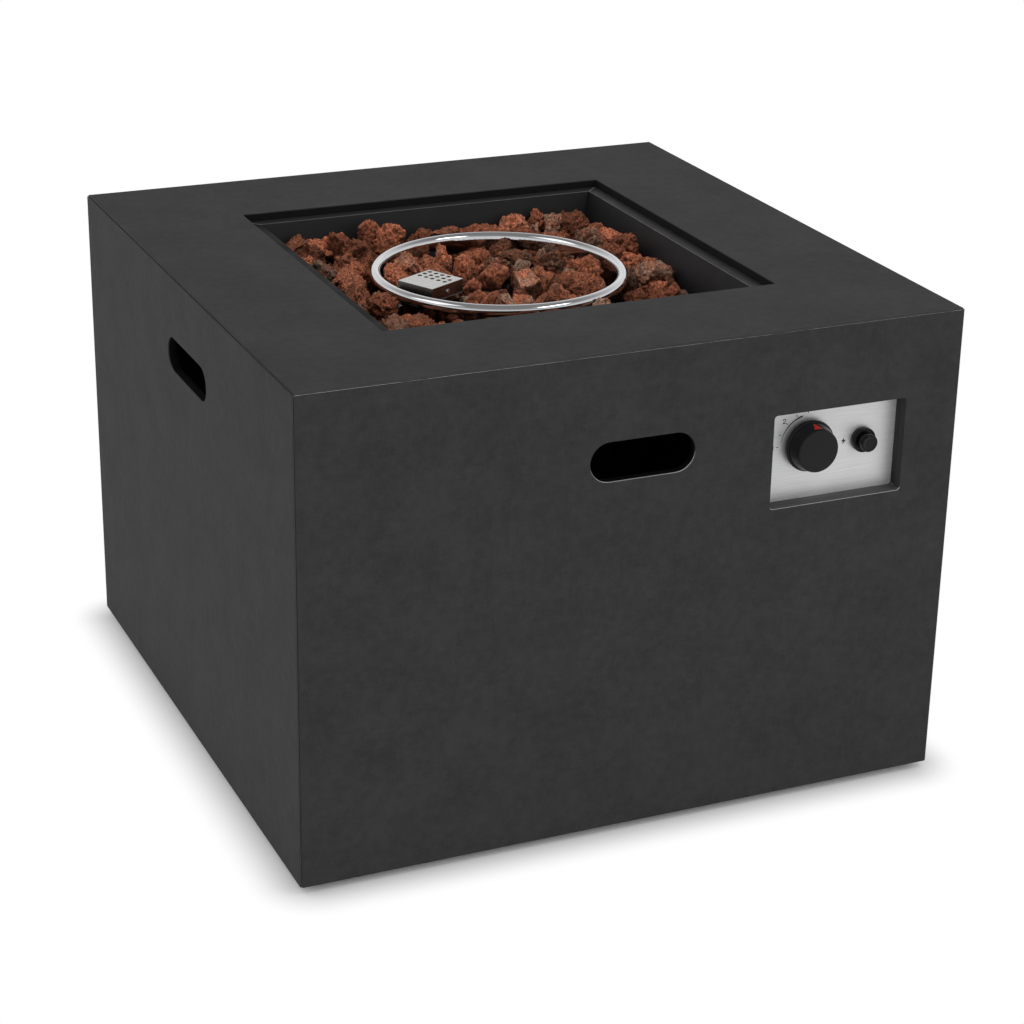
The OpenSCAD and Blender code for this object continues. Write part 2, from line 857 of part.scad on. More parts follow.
// Brass elbow that carries the gas jet into the mixer
module orifice_elbow() {
    color("#b8924e") translate([0, 0, knob_z]) difference() {
        union() {
            cube(elbow_w, center = true);
            translate([0, 0, elbow_w / 2]) cylinder(r = elbow_stub_r, h = jet_l - jet_tip_l);
            translate([0, 0, elbow_w / 2 + jet_l - jet_tip_l])
                cylinder(r1 = elbow_stub_r, r2 = jet_tip_r, h = jet_tip_l);
            rotate([0, 90, 0]) cylinder(r = elbow_stub_r, h = pipe_end);
        }
        cylinder(r = jet_bore, h = elbow_w + jet_l);
        rotate([0, 90, 0]) cylinder(r = pipe_r - pipe_t, h = pipe_end + past);
    }
}

module pipe_profile() {
    difference() {
        circle(pipe_r);
        circle(pipe_r - pipe_t);
    }
}

// Gas pipe from the valve's outlet to the elbow, with two bends
module gas_pipe() {
    color("#c3c5c8") translate([0, 0, knob_z]) {
        translate([pipe_run + pipe_bend, pipe_y, 0]) rotate([0, 90, 0])
            linear_extrude(pipe_lead) pipe_profile();
        translate([pipe_run + pipe_bend, pipe_y + pipe_bend, 0]) rotate(180) rotate_extrude(angle = 90)
            translate([pipe_bend, 0]) pipe_profile();
        translate([pipe_run, -pipe_bend, 0]) rotate([90, 0, 0])
            linear_extrude(-pipe_y - 2 * pipe_bend) pipe_profile();
        translate([pipe_run - pipe_bend, -pipe_bend, 0]) rotate_extrude(angle = 90)
            translate([pipe_bend, 0]) pipe_profile();
        translate([pipe_end, 0, 0]) rotate([0, 90, 0])
            linear_extrude(pipe_run - pipe_bend - pipe_end) pipe_profile();
    }
}

// Flare nut: wide over the stub, narrow over the pipe, which runs to +Z
module flare_nut(stub_r) {
    difference() {
        translate([0, 0, -flare_on]) cylinder(r = flare_hex, h = flare_l, $fn = 6);
        translate([0, 0, -flare_on - past]) cylinder(r = stub_r + thread_gap, h = flare_on + past);
        translate([0, 0, -past]) cylinder(r = pipe_r + thread_gap, h = flare_l);
    }
}

module pipe_nuts() {
    color("#b8924e") translate([0, 0, knob_z]) {
        translate([pipe_x, pipe_y, 0]) rotate([0, -90, 0]) flare_nut(outlet_r);
        translate([pipe_end, 0, 0]) rotate([0, 90, 0]) flare_nut(elbow_stub_r);
    }
}

// Pilot

// Hole for the cover's screws, through both sides
module tab_drill() {
    translate([0, 0, tab_screw_z]) rotate([90, 0, 0])
        cylinder(r = small_r + screw_gap, h = cover_w + 2 * past, center = true);
}

// Shelf on one leg, with an upright for the rods and two side tabs for the cover
module pilot_bracket() {
    leg_h = shelf_z - z_floor;
    leg_out = cover_l / 2 + tab_l;
    color("#a5a7aa") at_pilot() difference() {
        union() {
            translate([-cover_l / 2, -cover_w / 2, -cover_t]) cube([cover_l, cover_w, cover_t]);
            translate([-leg_out, -tab_w / 2, -cover_t]) cube([tab_l, tab_w, cover_t]);
            translate([-leg_out - cover_t, -leg_w / 2, -leg_h]) cube([cover_t, leg_w, leg_h]);
            translate([-leg_out, -leg_w / 2, -leg_h]) cube([leg_w, leg_w, cover_t]);
            translate([upright_x, -rod_y - 2 * rod_r, 0]) cube([cover_t, 2 * rod_y + 4 * rod_r, upright_h]);
            for (s = [-1, 1]) scale([1, s, 1])
                translate([-side_tab_w / 2, cover_w / 2 - 2 * cover_t - thread_gap, 0])
                    cube([side_tab_w, cover_t, side_tab_h]);
        }
        for (y = [-1, 1]) {
            translate([upright_x - past, y * rod_y, rod_z]) rotate([0, 90, 0])
                cylinder(r = rod_r + screw_gap, h = cover_t + 2 * past);
            translate([lead_x, y * rod_y, -cover_t - past]) cylinder(r = lead_hole_r, h = cover_t + 2 * past);
        }
        tab_drill();
        translate([leg_w / 2 - leg_out, 0, -leg_h - past])
            cylinder(r = screw_r + screw_gap, h = cover_t + 2 * past);
    }
}

// Perforated cover, open below
module pilot_cover() {
    color("#bcbdbf") at_pilot() difference() {
        linear_extrude(cover_h) square([cover_l, cover_w], center = true);
        translate([0, 0, -past]) linear_extrude(cover_h - cover_t + past)
            square([cover_l - 2 * cover_t, cover_w - 2 * cover_t], center = true);
        for (row = [0 : len(cover_rows) - 1], n = [0 : cover_rows[row] - 1])
            translate([cover_first_x + n * cover_hole_pitch, cover_first_y - row * cover_row_pitch,
                cover_h - cover_t - past]) cylinder(r = cover_hole_r, h = cover_t + 2 * past);
        tab_drill();
    }
}

module cover_screws() {
    color("#c9cacc") at_pilot() for (s = [0, 180]) rotate(s)
        translate([0, cover_w / 2, tab_screw_z]) rotate([90, 0, 0])
            screw(2 * cover_t + nut_h, small_r, small_head_r, small_head_h);
}

module at_rod(side) {
    at_pilot() translate([rod_back, side * rod_y, rod_z]) rotate([0, 90, 0]) children();
}

module ignition_electrode() {
    color("#e9e4d8") at_rod(-1) cylinder(r = rod_r, h = rod_l);
}

module electrode_tip() {
    color("#8c8d90") at_rod(-1) translate([0, 0, rod_l]) cylinder(r = tip_r, h = tip_l);
}

module flame_sensor() {
    color("#b87f55") at_rod(1) {
        cylinder(r = rod_r, h = rod_l);
        translate([0, 0, rod_l]) cylinder(r1 = rod_r, r2 = sensor_tip_r, h = sensor_tip_l);
    }
}

// Sweeps

function unit(v) = v / norm(v);

// Curve through hand-set points, with m steps between each pair
function spline_at(a, b, c, d, t) = 0.5 * (2 * b + (c - a) * t + (2 * a - 5 * b + 4 * c - d) * t * t
    + (3 * b - a - 3 * c + d) * t * t * t);
function spline(p, m) = let (k = len(p) - 1) concat([for (i = [0 : k - 1], s = [0 : m - 1])
    spline_at(p[max(i - 1, 0)], p[i], p[i + 1], p[min(i + 2, k)], s / m)], [p[k]]);

// Direction of the curve at point i, and a normal carried along it
function along(p, i) = unit(p[min(i + 1, len(p) - 1)] - p[max(i - 1, 0)]);
function carried(n, t) = unit(n - (n * t) * t);
function normals(p, i, n) = i == len(p) ? [] : let (m = carried(n, along(p, i)))
    concat([m], normals(p, i + 1, m));

// Round tube of r along points p, with its first normal near n
module tube(p, r, sides, n) {
    ns = normals(p, 0, n);
    points = [for (i = [0 : len(p) - 1]) let (b = cross(along(p, i), ns[i])) for (s = [0 : sides - 1])
        p[i] + r * (cos(360 * s / sides) * ns[i] + sin(360 * s / sides) * b)];
    last = (len(p) - 1) * sides;
    faces = concat(
        [for (i = [0 : len(p) - 2], s = [0 : sides - 1], f = [0, 1]) let (a = i * sides + s,
            b = i * sides + (s + 1) % sides) f == 0 ? [a, a + sides, b + sides] : [a, b + sides, b]],
        [for (s = [1 : sides - 2]) [0, s, s + 1]],
        [for (s = [1 : sides - 2]) [last, last + s + 1, last + s]]);
    polyhedron(points, faces);
}

// Point beside a pilot rod, at x along the cover and at the level z
function by_rod(side, x, z) = [cover_x + x * cos(cover_a) - side * rod_y * sin(cover_a),
    cover_y + x * sin(cover_a) + side * rod_y * cos(cover_a), z];

// Route of a lead: from the back of its rod down through the shelf and the pan, then along its way
function lead_route(side, way, end) = let (from = by_rod(side, lead_x, z_floor - lead_drop)) concat(
    [for (t = lead_turn) by_rod(side, rod_back + t[0] * (lead_x - rod_back), shelf_z + rod_z * (1 - t[1]))],
    [by_rod(side, lead_x, (shelf_z + z_floor) / 2), by_rod(side, lead_x, z_floor), from],
    [for (w = way) [for (i = [0 : 2]) from[i] + w[i] * (end[i] - from[i])]], [end]);

module ignition_lead() {
    color("#8e2f22") tube(spline(lead_route(-1, ignition_way, ignition_end), lead_steps),
        ignition_lead_r, lead_sides, [0, 0, 1]);
}

module sensor_lead() {
    color("#a8683c") tube(spline(lead_route(1, sensor_way, sensor_end), lead_steps),
        sensor_lead_r, lead_sides, [0, 0, 1]);
}

// Coil spring along +Z between two seats
module coil(r, z0, z1, turns) {
    steps = turns * coil_steps;
    low = z0 + wire_r + seat_gap;
    rise = z1 - z0 - 2 * (wire_r + seat_gap);
    tube([for (i = [0 : steps]) let (a = 360 * i / coil_steps)
        [r * cos(a), r * sin(a), low + rise * i / steps]], wire_r, coil_sides, [1, 0, 0]);
}

// Controls

module spacer_frame() {
    color("#202123") translate([recess_x, y_plate, recess_z]) rotate([90, 0, 0]) difference() {
        linear_extrude(spacer_d) difference() {
            square([recess_w + 2 * spacer_w, recess_h + 2 * spacer_w], center = true);
            round_rect(recess_w, recess_h, recess_r);
        }
        for (x = [-1, 1], z = [-1, 1]) translate([x * plate_screw_x, z * plate_screw_z, -past])
            cylinder(r = screw_r + screw_gap, h = spacer_d + 2 * past);
    }
}

module control_plate() {
    color("#cfd0d2") translate([recess_x, y_behind, recess_z]) rotate([90, 0, 0]) difference() {
        linear_extrude(plate_t) square([recess_w + 2 * spacer_w, recess_h + 2 * spacer_w], center = true);
        for (x = [-1, 1], z = [-1, 1]) translate([x * plate_screw_x, z * plate_screw_z, -past])
            cylinder(r = screw_r + screw_gap, h = plate_t + 2 * past);
        translate([-knob_left, knob_up, -past]) cylinder(r = nose_r + thread_gap, h = plate_t + 2 * past);
        translate([igniter_right, igniter_up, -past])
            cylinder(r = neck_r + thread_gap, h = plate_t + 2 * past);
    }
}

module control_screws() {
    color("silver") at_plate_screws() translate([0, 0, -spacer_d - plate_t])
        screw(spacer_d + plate_t + screw_grip);
}

// Cast valve body with its nose, its outlet to the left and its inlet below
module valve_body() {
    color("#8f9194") at_knob() difference() {
        union() {
            translate([0, 0, plate_t]) linear_extrude(valve_l) round_rect(valve_w, valve_w, valve_edge);
            translate([0, 0, -nose_l]) cylinder(r = nose_r, h = nose_l + plate_t + past);
            translate([0, 0, plate_t + outlet_u]) rotate([0, -90, 0])
                cylinder(r = outlet_r, h = valve_w / 2 + outlet_l);
        }
        translate([0, 0, -nose_l - past]) cylinder(r = stem_r + run_gap, h = nose_l + bore_u + 2 * past);
        translate([0, 0, bore_u]) cylinder(r = plug_r + run_gap, h = chamber_u - bore_u);
        translate([0, 0, chamber_u - past]) cylinder(r = pin_r + run_gap, h = valve_l);
        translate([0, 0, plate_t + outlet_u]) rotate([0, -90, 0])
            cylinder(r = pipe_r - pipe_t, h = valve_w / 2 + outlet_l + past);
        translate([0, valve_w / 2 - fitting_root_l - thread_gap, bore_u + plug_r]) rotate([-90, 0, 0])
            cylinder(r = fitting_root_r + thread_gap, h = fitting_root_l + thread_gap + past);
        translate([0, 0, bore_u + plug_r]) rotate([-90, 0, 0]) cylinder(r = gas_way_r, h = valve_w / 2);
    }
}

module valve_nut() {
    color("#c4a25c") at_knob() translate([0, 0, -nut_t]) hex_nut(nut_r, nut_t, nose_r + thread_gap);
}

// Gas inlet under the valve: a hexagon and a threaded end that points down
module inlet_fitting() {
    color("#b8924e") translate([knob_x, y_plate + bore_u + plug_r, knob_z - valve_w / 2]) rotate([180, 0, 0])
        difference() {
            union() {
                translate([0, 0, -fitting_root_l]) cylinder(r = fitting_root_r, h = fitting_root_l);
                cylinder(r = fitting_hex, h = fitting_hex_h, $fn = 6);
                translate([0, 0, fitting_hex_h]) cylinder(r = inlet_r, h = inlet_l);
            }
            translate([0, 0, -fitting_root_l - past])
                cylinder(r = gas_way_r, h = fitting_root_l + fitting_hex_h + inlet_l + 2 * past);
        }
}

// Magnet unit that holds the safety valve, on the back of the body
module magnet_unit() {
    color("#b8924e") at_knob() translate([0, 0, plate_t + valve_l]) difference() {
        union() {
            cylinder(r = magnet_r, h = magnet_l - magnet_cap_l);
            translate([0, 0, magnet_l - magnet_cap_l]) cylinder(r = magnet_cap_r, h = magnet_cap_l, $fn = 6);
        }
        translate([0, 0, -past]) cylinder(r = pin_r + run_gap, h = pin_over + push_travel + 2 * past);
    }
}

// Rotary plug, driven by the stem's blade through a slot
module valve_plug() {
    slot_end = blade_end + push_travel + past;
    neck_end = bore_u + push_travel + plug_end_gap;
    color("#c9b27a") at_knob() difference() {
        translate([0, 0, bore_u + plug_end_gap])
            cylinder(r = plug_r, h = chamber_u - bore_u - 2 * plug_end_gap);
        translate([0, 0, bore_u]) cylinder(r = stem_r + plug_end_gap, h = neck_end - bore_u);
        translate([-blade_w / 2 - blade_gap, -blade_t / 2 - blade_gap, bore_u])
            cube([blade_w + 2 * blade_gap, blade_t + 2 * blade_gap, slot_end - bore_u]);
        translate([0, 0, bore_u]) cylinder(r = pin_r + 2 * run_gap, h = chamber_u);
        translate([0, 0, plug_port_u]) rotate([90, 0, 0]) cylinder(r = plug_port_r, h = plug_r + past);
    }
}

module push_pin() {
    color("#b5b7ba") at_knob() translate([0, 0, blade_end + run_gap])
        cylinder(r = pin_r, h = pin_end - blade_end - run_gap);
}

// Stem with a flat for the knob and a blade for the plug
module valve_stem() {
    color("#b5b7ba") at_knob() {
        difference() {
            translate([0, 0, -stem_top]) cylinder(r = stem_r, h = stem_top + bore_u - run_gap);
            translate([-stem_r, stem_r - flat_cut, -stem_top - past])
                cube([2 * stem_r, stem_r, stem_top - hub_back + past]);
        }
        intersection() {
            translate([-blade_w / 2, -blade_t / 2, bore_u - run_gap])
                cube([blade_w, blade_t, blade_end - bore_u + run_gap]);
            translate([0, 0, bore_u - run_gap]) cylinder(r = stem_r, h = blade_end - bore_u + run_gap);
        }
    }
}

// Quarter rounds for turned profiles: points on an arc about c
function arc(c, r, a0, a1, n) = [for (i = [0 : n]) let (a = a0 + (a1 - a0) * i / n) c + r * [cos(a), sin(a)]];

// Radius of the knob's body at height h over the plate
function knob_r_at(h) = body_r + (cap_r - body_r) * (h - body_low) / (body_high - body_low);

// Knob turned from its profile: skirt, groove, tapering body and a slightly domed cap
module knob_profile() {
    groove_r = body_r - groove_d;
    polygon(concat([[0, knob_lift]],
        arc([skirt_r - skirt_under, knob_lift + skirt_under], skirt_under, -90, 0, 4),
        arc([skirt_r - skirt_over, knob_lift + skirt_t - skirt_over], skirt_over, 0, 90, 5),
        [[groove_r, knob_lift + skirt_t], [groove_r, body_low - groove_d / 2], [body_r, body_low]],
        arc([cap_r - cap_edge, body_high - dome], cap_edge, 10, 80, 6),
        [[cap_r * dome_at, knob_h - dome * dome_drop], [0, knob_h]]));
}

// Wedge over the pointer's triangle, on top of the knob, widened by g
module pointer_wedge(g) {
    base = body_high - pointer_in;
    rotate([90, 0, 0]) linear_extrude(skirt_r) polygon([[-pointer_w / 2 - g, base + g],
        [pointer_w / 2 + g, base + g], [0, base - pointer_l - 2 * g]]);
}

// Thin band on the knob's body that the pointer is let into
module pointer_band(lower, upper) {
    low_r = knob_r_at(body_low);
    high_r = knob_r_at(body_high);
    base = body_low - groove_w;
    rotate_extrude($fn = 96) polygon([[low_r - lower, base], [low_r + upper, base], [low_r + upper, body_low],
        [high_r + upper, body_high], [high_r - lower, body_high], [low_r - lower, body_low]]);
}

// Local frame of the knob: Z runs out from the plate, -Y is up once it is placed
module knob_out() {
    at_knob() mirror([0, 0, 1]) children();
}

module control_knob() {
    color("#161617") knob_out() difference() {
        rotate_extrude($fn = 96) knob_profile();
        translate([0, 0, knob_lift - past]) difference() {
            cylinder(r = cavity_r, h = cavity_top - knob_lift + past);
            translate([0, 0, -past]) cylinder(r = hub_out, h = cavity_top);
        }
        translate([0, 0, knob_lift - past]) cylinder(r = hub_out + past, h = hub_back - knob_lift + past);
        difference() {
            translate([0, 0, hub_back - past])
                cylinder(r = stem_r + run_gap, h = stem_top + run_gap - hub_back + past);
            translate([-stem_r - past, stem_r - flat_cut + run_gap, hub_back - 2 * past])
                cube([2 * stem_r + 2 * past, stem_r, knob_h]);
        }
        intersection() {
            pointer_wedge(pointer_gap);
            pointer_band(pointer_in_d + pointer_gap, groove_w);
        }
    }
}

module knob_pointer() {
    color("#d3261c") knob_out() intersection() {
        pointer_wedge(0);
        pointer_band(pointer_in_d, pointer_proud);
    }
}

module knob_spring() {
    color("#b5b7ba") at_knob() coil(knob_coil_r, -cavity_top, -nut_t, knob_coil_turns);
}

// Igniter: barrel behind the plate with a threaded neck, a collar in front and a sprung button
module igniter_barrel() {
    color("#1b1b1c") at_igniter() difference() {
        union() {
            translate([0, 0, -neck_l]) cylinder(r = neck_r, h = neck_l + plate_t + past);
            translate([0, 0, plate_t]) cylinder(r = barrel_flange_r, h = barrel_flange_t);
            translate([0, 0, plate_t]) cylinder(r = barrel_r, h = barrel_l);
            translate([-terminal_w / 2, -terminal_t / 2, plate_t + barrel_l - past])
                cube([terminal_w, terminal_t, terminal_l + past]);
        }
        translate([0, 0, -neck_l - past]) cylinder(r = button_r + run_gap, h = neck_l + barrel_bore_u + past);
    }
}

module igniter_collar() {
    bore = neck_r + thread_gap;
    color("#1b1b1c") at_igniter() mirror([0, 0, 1]) rotate_extrude($fn = 96)
        polygon(concat([[bore, 0], [collar_r, 0]],
            arc([collar_r - collar_lip, collar_t - collar_lip], collar_lip, 0, 90, 6), [[bore, collar_t]]));
}

module igniter_button() {
    color("#19191a") at_igniter() mirror([0, 0, 1]) rotate_extrude($fn = 96)
        polygon(concat([[0, -button_back], [button_r, -button_back]],
            arc([button_r - button_lip, button_h - button_lip], button_lip, 0, 90, 6),
            [[dish_r + dish_edge, button_h], [dish_r, button_h - button_dish], [0, button_h - button_dish]]));
}

module igniter_spring() {
    color("#b5b7ba") at_igniter() coil(button_coil_r, button_back, barrel_bore_u, button_coil_turns);
}

// Lava rock

// Lump with a flat base at the origin, within a circle of radius r, and of height h
module rock(r, h, seed) {
    n = rock_sides;
    m = len(rock_belts);
    f = rands(0, 1, 3 * n * m + 2, seed);
    points = concat([for (b = [0 : m - 1], s = [0 : n - 1]) let (k = 3 * (b * n + s),
        a = 360 * (s + b / 2) / n + rock_swing * (f[k] - 0.5),
        q = r * rock_belts[b][1] * (1 - rock_rough * f[k + 1]))
        [q * cos(a), q * sin(a), b == 0 ? 0 : h * (rock_belts[b][0] + rock_lean * (f[k + 2] - 0.5))]],
        [[r * rock_peak * (f[3 * n * m] - 0.5), r * rock_peak * (f[3 * n * m + 1] - 0.5), h]]);
    faces = concat(
        [for (b = [0 : m - 2], s = [0 : n - 1], t = [0, 1]) let (i = b * n + s, j = b * n + (s + 1) % n)
            t == 0 ? [i, i + n, j + n] : [i, j + n, j]],
        [for (s = [0 : n - 1]) [(m - 1) * n + s, m * n, (m - 1) * n + (s + 1) % n]],
        [for (s = [1 : n - 2]) [0, s, s + 1]]);
    polyhedron(points, faces);
}

// Distance of p from the outline of the pilot's shelf, leg and cover
function off_pilot(p) = let (d = p - [cover_x, cover_y], x = d * [cos(cover_a), sin(cover_a)],
    y = d * [-sin(cover_a), cos(cover_a)])
    max(-cover_l / 2 - tab_l - cover_t - x, x - cover_l / 2, abs(y) - cover_w / 2 - small_head_h);

// Spots [x, y, least radius] thrown on a square of half side reach, for the large rocks first
function thrown(reach, seed) = let (x = rands(-reach, reach, rock_tries, seed),
    y = rands(-reach, reach, rock_tries, seed + 1)) [for (i = [0 : rock_tries - 1])
    [x[i], y[i], rock_small_r + (rock_r - rock_small_r) * pow(1 - i / rock_tries, rock_shrink)]];

// Round patches [x, y, r] on the spots where room(p) and the patches kept before leave space enough
function strewn(spots, room, i = 0, kept = []) = i == len(spots) ? kept :
    let (s = spots[i], p = [s[0], s[1]], r = min(concat([rock_r, room(p) - rock_gap],
        [for (k = kept) norm(p - [k[0], k[1]]) - k[2] - rock_gap])))
    strewn(spots, room, i + 1, r < s[2] ? kept : concat(kept, [[p[0], p[1], r]]));

// A rock on each patch, on the level z
module rocks_on(patches, z, low, high, seed) {
    tall = rands(low, high, len(patches) + 1, seed);
    color("#6b3a2c") for (i = [0 : len(patches) - 1]) {
        s = patches[i];
        translate([s[0], s[1], z]) rock(s[2], min(tall[i], rock_tall * s[2]), seed + i);
    }
}

// Rocks on the pan's floor, round the ring
module lava_rocks_around() {
    reach = pan_w(z_floor) / 2 - pan_t;
    rocks_on(strewn(thrown(reach, rock_seed),
        function (p) min(reach - max(abs(p[0]), abs(p[1])), norm(p) - ring_r)),
        z_floor, rock_low, rock_high, rock_seed + 900);
}

// Rocks inside the ring: on the pan's floor round the burner, then on the burner
module lava_rocks_middle() {
    within = ring_in - screw_head_h - bracket_off;
    rocks_on(strewn(thrown(within, rock_seed + 2),
        function (p) min(within - norm(p), norm(p) - burner_r, off_pilot(p))),
        z_floor, rock_low, rock_high, rock_seed + 300);
    rocks_on(strewn(thrown(burner_r, rock_seed + 4),
        function (p) min(burner_r - norm(p), off_pilot(p))),
        burner_top, top_rock_low, top_rock_high, rock_seed + 600);
}

top_panel();
front_panel();
rear_panel();
left_panel();
right_panel();
corner_angle();  // corner_angle_front_left
rotate(90) corner_angle();  // corner_angle_front_right
rotate(180) corner_angle();  // corner_angle_rear_right
rotate(270) corner_angle();  // corner_angle_rear_left
angle_screws();
foot();  // foot_front_left
rotate(90) foot();  // foot_front_right
rotate(180) foot();  // foot_rear_right
rotate(270) foot();  // foot_rear_left
foot_nuts();
pan_support_frame();
frame_screws();
pan_floor();
pan_wall();  // pan_wall_front
rotate(90) pan_wall();  // pan_wall_right
rotate(180) pan_wall();  // pan_wall_rear
rotate(270) pan_wall();  // pan_wall_left
guard_ring();
ring_brackets();
ring_screws();
ring_nuts();
gas_burner();
burner_locknut();
air_mixer();
orifice_elbow();
gas_pipe();
pipe_nuts();
pilot_bracket();
pilot_cover();
cover_screws();
ignition_electrode();
electrode_tip();
flame_sensor();
ignition_lead();
sensor_lead();
spacer_frame();
control_plate();
control_screws();
valve_body();
valve_nut();
inlet_fitting();
magnet_unit();
valve_plug();
push_pin();
valve_stem();
control_knob();
knob_pointer();
knob_spring();
igniter_barrel();
igniter_collar();
igniter_button();
igniter_spring();
lava_rocks_around();
lava_rocks_middle();
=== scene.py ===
# Square gas fire pit table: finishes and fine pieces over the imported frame, in metres.
import math
import random

import bmesh
import bpy
from mathutils import Matrix, Vector, noise


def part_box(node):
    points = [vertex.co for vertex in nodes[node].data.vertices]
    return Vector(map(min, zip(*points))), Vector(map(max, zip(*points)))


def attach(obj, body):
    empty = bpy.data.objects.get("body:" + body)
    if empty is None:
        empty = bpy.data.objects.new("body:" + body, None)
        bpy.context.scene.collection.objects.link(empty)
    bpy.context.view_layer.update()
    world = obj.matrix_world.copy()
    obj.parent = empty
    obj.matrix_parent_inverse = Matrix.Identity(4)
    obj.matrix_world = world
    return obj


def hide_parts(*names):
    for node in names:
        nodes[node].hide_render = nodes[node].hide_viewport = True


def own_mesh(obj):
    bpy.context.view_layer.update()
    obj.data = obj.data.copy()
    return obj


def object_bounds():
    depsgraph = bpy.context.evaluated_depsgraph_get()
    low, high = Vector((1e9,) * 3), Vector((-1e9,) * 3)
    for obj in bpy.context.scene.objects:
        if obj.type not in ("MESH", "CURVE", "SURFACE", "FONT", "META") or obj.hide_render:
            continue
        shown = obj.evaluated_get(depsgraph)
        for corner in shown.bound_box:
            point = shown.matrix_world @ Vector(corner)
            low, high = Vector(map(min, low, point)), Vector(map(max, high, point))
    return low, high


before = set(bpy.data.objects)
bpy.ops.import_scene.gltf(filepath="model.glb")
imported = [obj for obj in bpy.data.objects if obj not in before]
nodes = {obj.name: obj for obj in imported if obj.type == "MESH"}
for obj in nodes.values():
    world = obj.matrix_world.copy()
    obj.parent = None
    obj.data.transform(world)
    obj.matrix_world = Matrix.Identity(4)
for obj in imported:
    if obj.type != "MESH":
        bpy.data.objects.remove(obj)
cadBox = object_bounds()
millimetre = 0.001
caseHalf = -cadBox[0][0]
caseTop = cadBox[1][2]
print("frame loaded:", len(nodes), "nodes")


# Small helpers

def hexColour(text):
    # sRGB hex to linear, with alpha
    parts = [int(text[i:i + 2], 16) / 255 for i in (1, 3, 5)]
    return [p / 12.92 if p <= 0.04045 else ((p + 0.055) / 1.055) ** 2.4 for p in parts] + [1]


def feed(tree, node, sockets):
    # sockets: input name or number -> a value, or a node or one of its outputs to link
    for name, value in sockets.items():
        if isinstance(value, bpy.types.Node):
            value = next(output for output in value.outputs if output.enabled)
        if isinstance(value, bpy.types.NodeSocket):
            tree.links.new(value, node.inputs[name])
        else:
            node.inputs[name].default_value = value


def addNode(tree, kind, sockets=None, **settings):
    node = tree.nodes.new(kind)
    for name, value in settings.items():
        setattr(node, name, value)
    feed(tree, node, sockets or {})
    return node


def newMaterial(name, colour, roughness, metallic=0.0, shine=0.5):
    # shine is the shader's specular level, 0.5 for a plain IOR of 1.5
    material = bpy.data.materials.new(name)
    material.use_nodes = True
    tree = material.node_tree
    shader = tree.nodes["Principled BSDF"]
    feed(tree, shader, {"Base Color": hexColour(colour), "Roughness": roughness, "Metallic": metallic,
                        "Specular IOR Level": shine})
    return material, tree, shader


def grains(size):
    # texture scale that gives blotches of about this many millimetres
    return 1 / (size * millimetre)


def meshObject(name, build, material, smooth=True):
    mesh = bpy.data.meshes.new(name)
    shape = bmesh.new()
    build(shape)
    shape.to_mesh(mesh)
    shape.free()
    mesh.polygons.foreach_set("use_smooth", [smooth] * len(mesh.polygons))
    piece = bpy.data.objects.new(name, mesh)
    mesh.materials.append(material)
    bpy.context.scene.collection.objects.link(piece)
    return piece


brokenEdge = {"weld": 0.01, "flatWithin": 0.5, "sharpFrom": 40}  # a length in millimetres, then degrees


def dress(names, material, edge=0.0, segments=2, clamp=True):
    # gives CAD nodes their material, and breaks their sharp edges by edge millimetres
    for name in names:
        piece = nodes[name]
        piece.data.materials.clear()
        piece.data.materials.append(material)
        if not edge:
            continue
        piece.modifiers.new("weld", "WELD").merge_threshold = brokenEdge["weld"] * millimetre
        if not clamp:
            # flat faces in one piece, so that no thin triangle spoils a wide broken edge
            flat = piece.modifiers.new("flat faces", "DECIMATE")
            flat.decimate_type = "DISSOLVE"
            flat.angle_limit = math.radians(brokenEdge["flatWithin"])
        bevel = piece.modifiers.new("broken edge", "BEVEL")
        bevel.width = edge * millimetre
        bevel.segments = segments
        bevel.limit_method = "ANGLE"
        bevel.angle_limit = math.radians(brokenEdge["sharpFrom"])
        bevel.harden_normals = True
        bevel.use_clamp_overlap = clamp


# Camera: fitted to the casing's corners, without lens shift

cameraView = {"azimuth": -23.97, "elevation": 22.531, "roll": 1.022, "distance": 2.9231, "right": 0.0219,
              "up": 0.1902, "lift": 0.008, "lens": 89.917, "sensor": 36, "clip": 50}


def placeCamera(s):
    a, e, r = (math.radians(s[k]) for k in ("azimuth", "elevation", "roll"))
    back = Vector((math.sin(a) * math.cos(e), -math.cos(a) * math.cos(e), math.sin(e)))
    flatRight = Vector((math.cos(a), math.sin(a), 0))
    flatUp = back.cross(flatRight)
    right = math.cos(r) * flatRight + math.sin(r) * flatUp
    up = math.cos(r) * flatUp - math.sin(r) * flatRight
    data = bpy.data.cameras.new("camera")
    data.lens = s["lens"]
    data.sensor_width = s["sensor"]
    data.clip_end = s["clip"]
    camera = bpy.data.objects.new("camera", data)
    place = back * s["distance"] + right * s["right"] + up * s["up"] + Vector((0, 0, s["lift"]))
    camera.matrix_world = Matrix((right, up, back)).transposed().to_4x4()
    camera.location = place
    bpy.context.scene.collection.objects.link(camera)
    bpy.context.scene.camera = camera


placeCamera(cameraView)
print("camera placed")


# Light: a studio dome, white all round and dimmer overhead, with a wide key on the left and a strip that
# picks out the upper front edges

studio = {"fill": 0.72, "zenith": 0.3, "domeFrom": 0.3, "domeTo": 0.85, "white": "#ffffff",
          "floor": "#fdfdfd", "shadeFrom": -24, "shadeTo": 50, "floorHalf": 12.0, "aim": (0, 0, 0.3)}
lamps = [
    {"name": "keyLamp", "at": (-2.4, 0.5, 3.6), "size": (2.0, 2.0), "power": 20},
    {"name": "edgeLamp", "at": (1.3, -1.5, 3.0), "size": (1.4, 0.5), "power": 14},
]


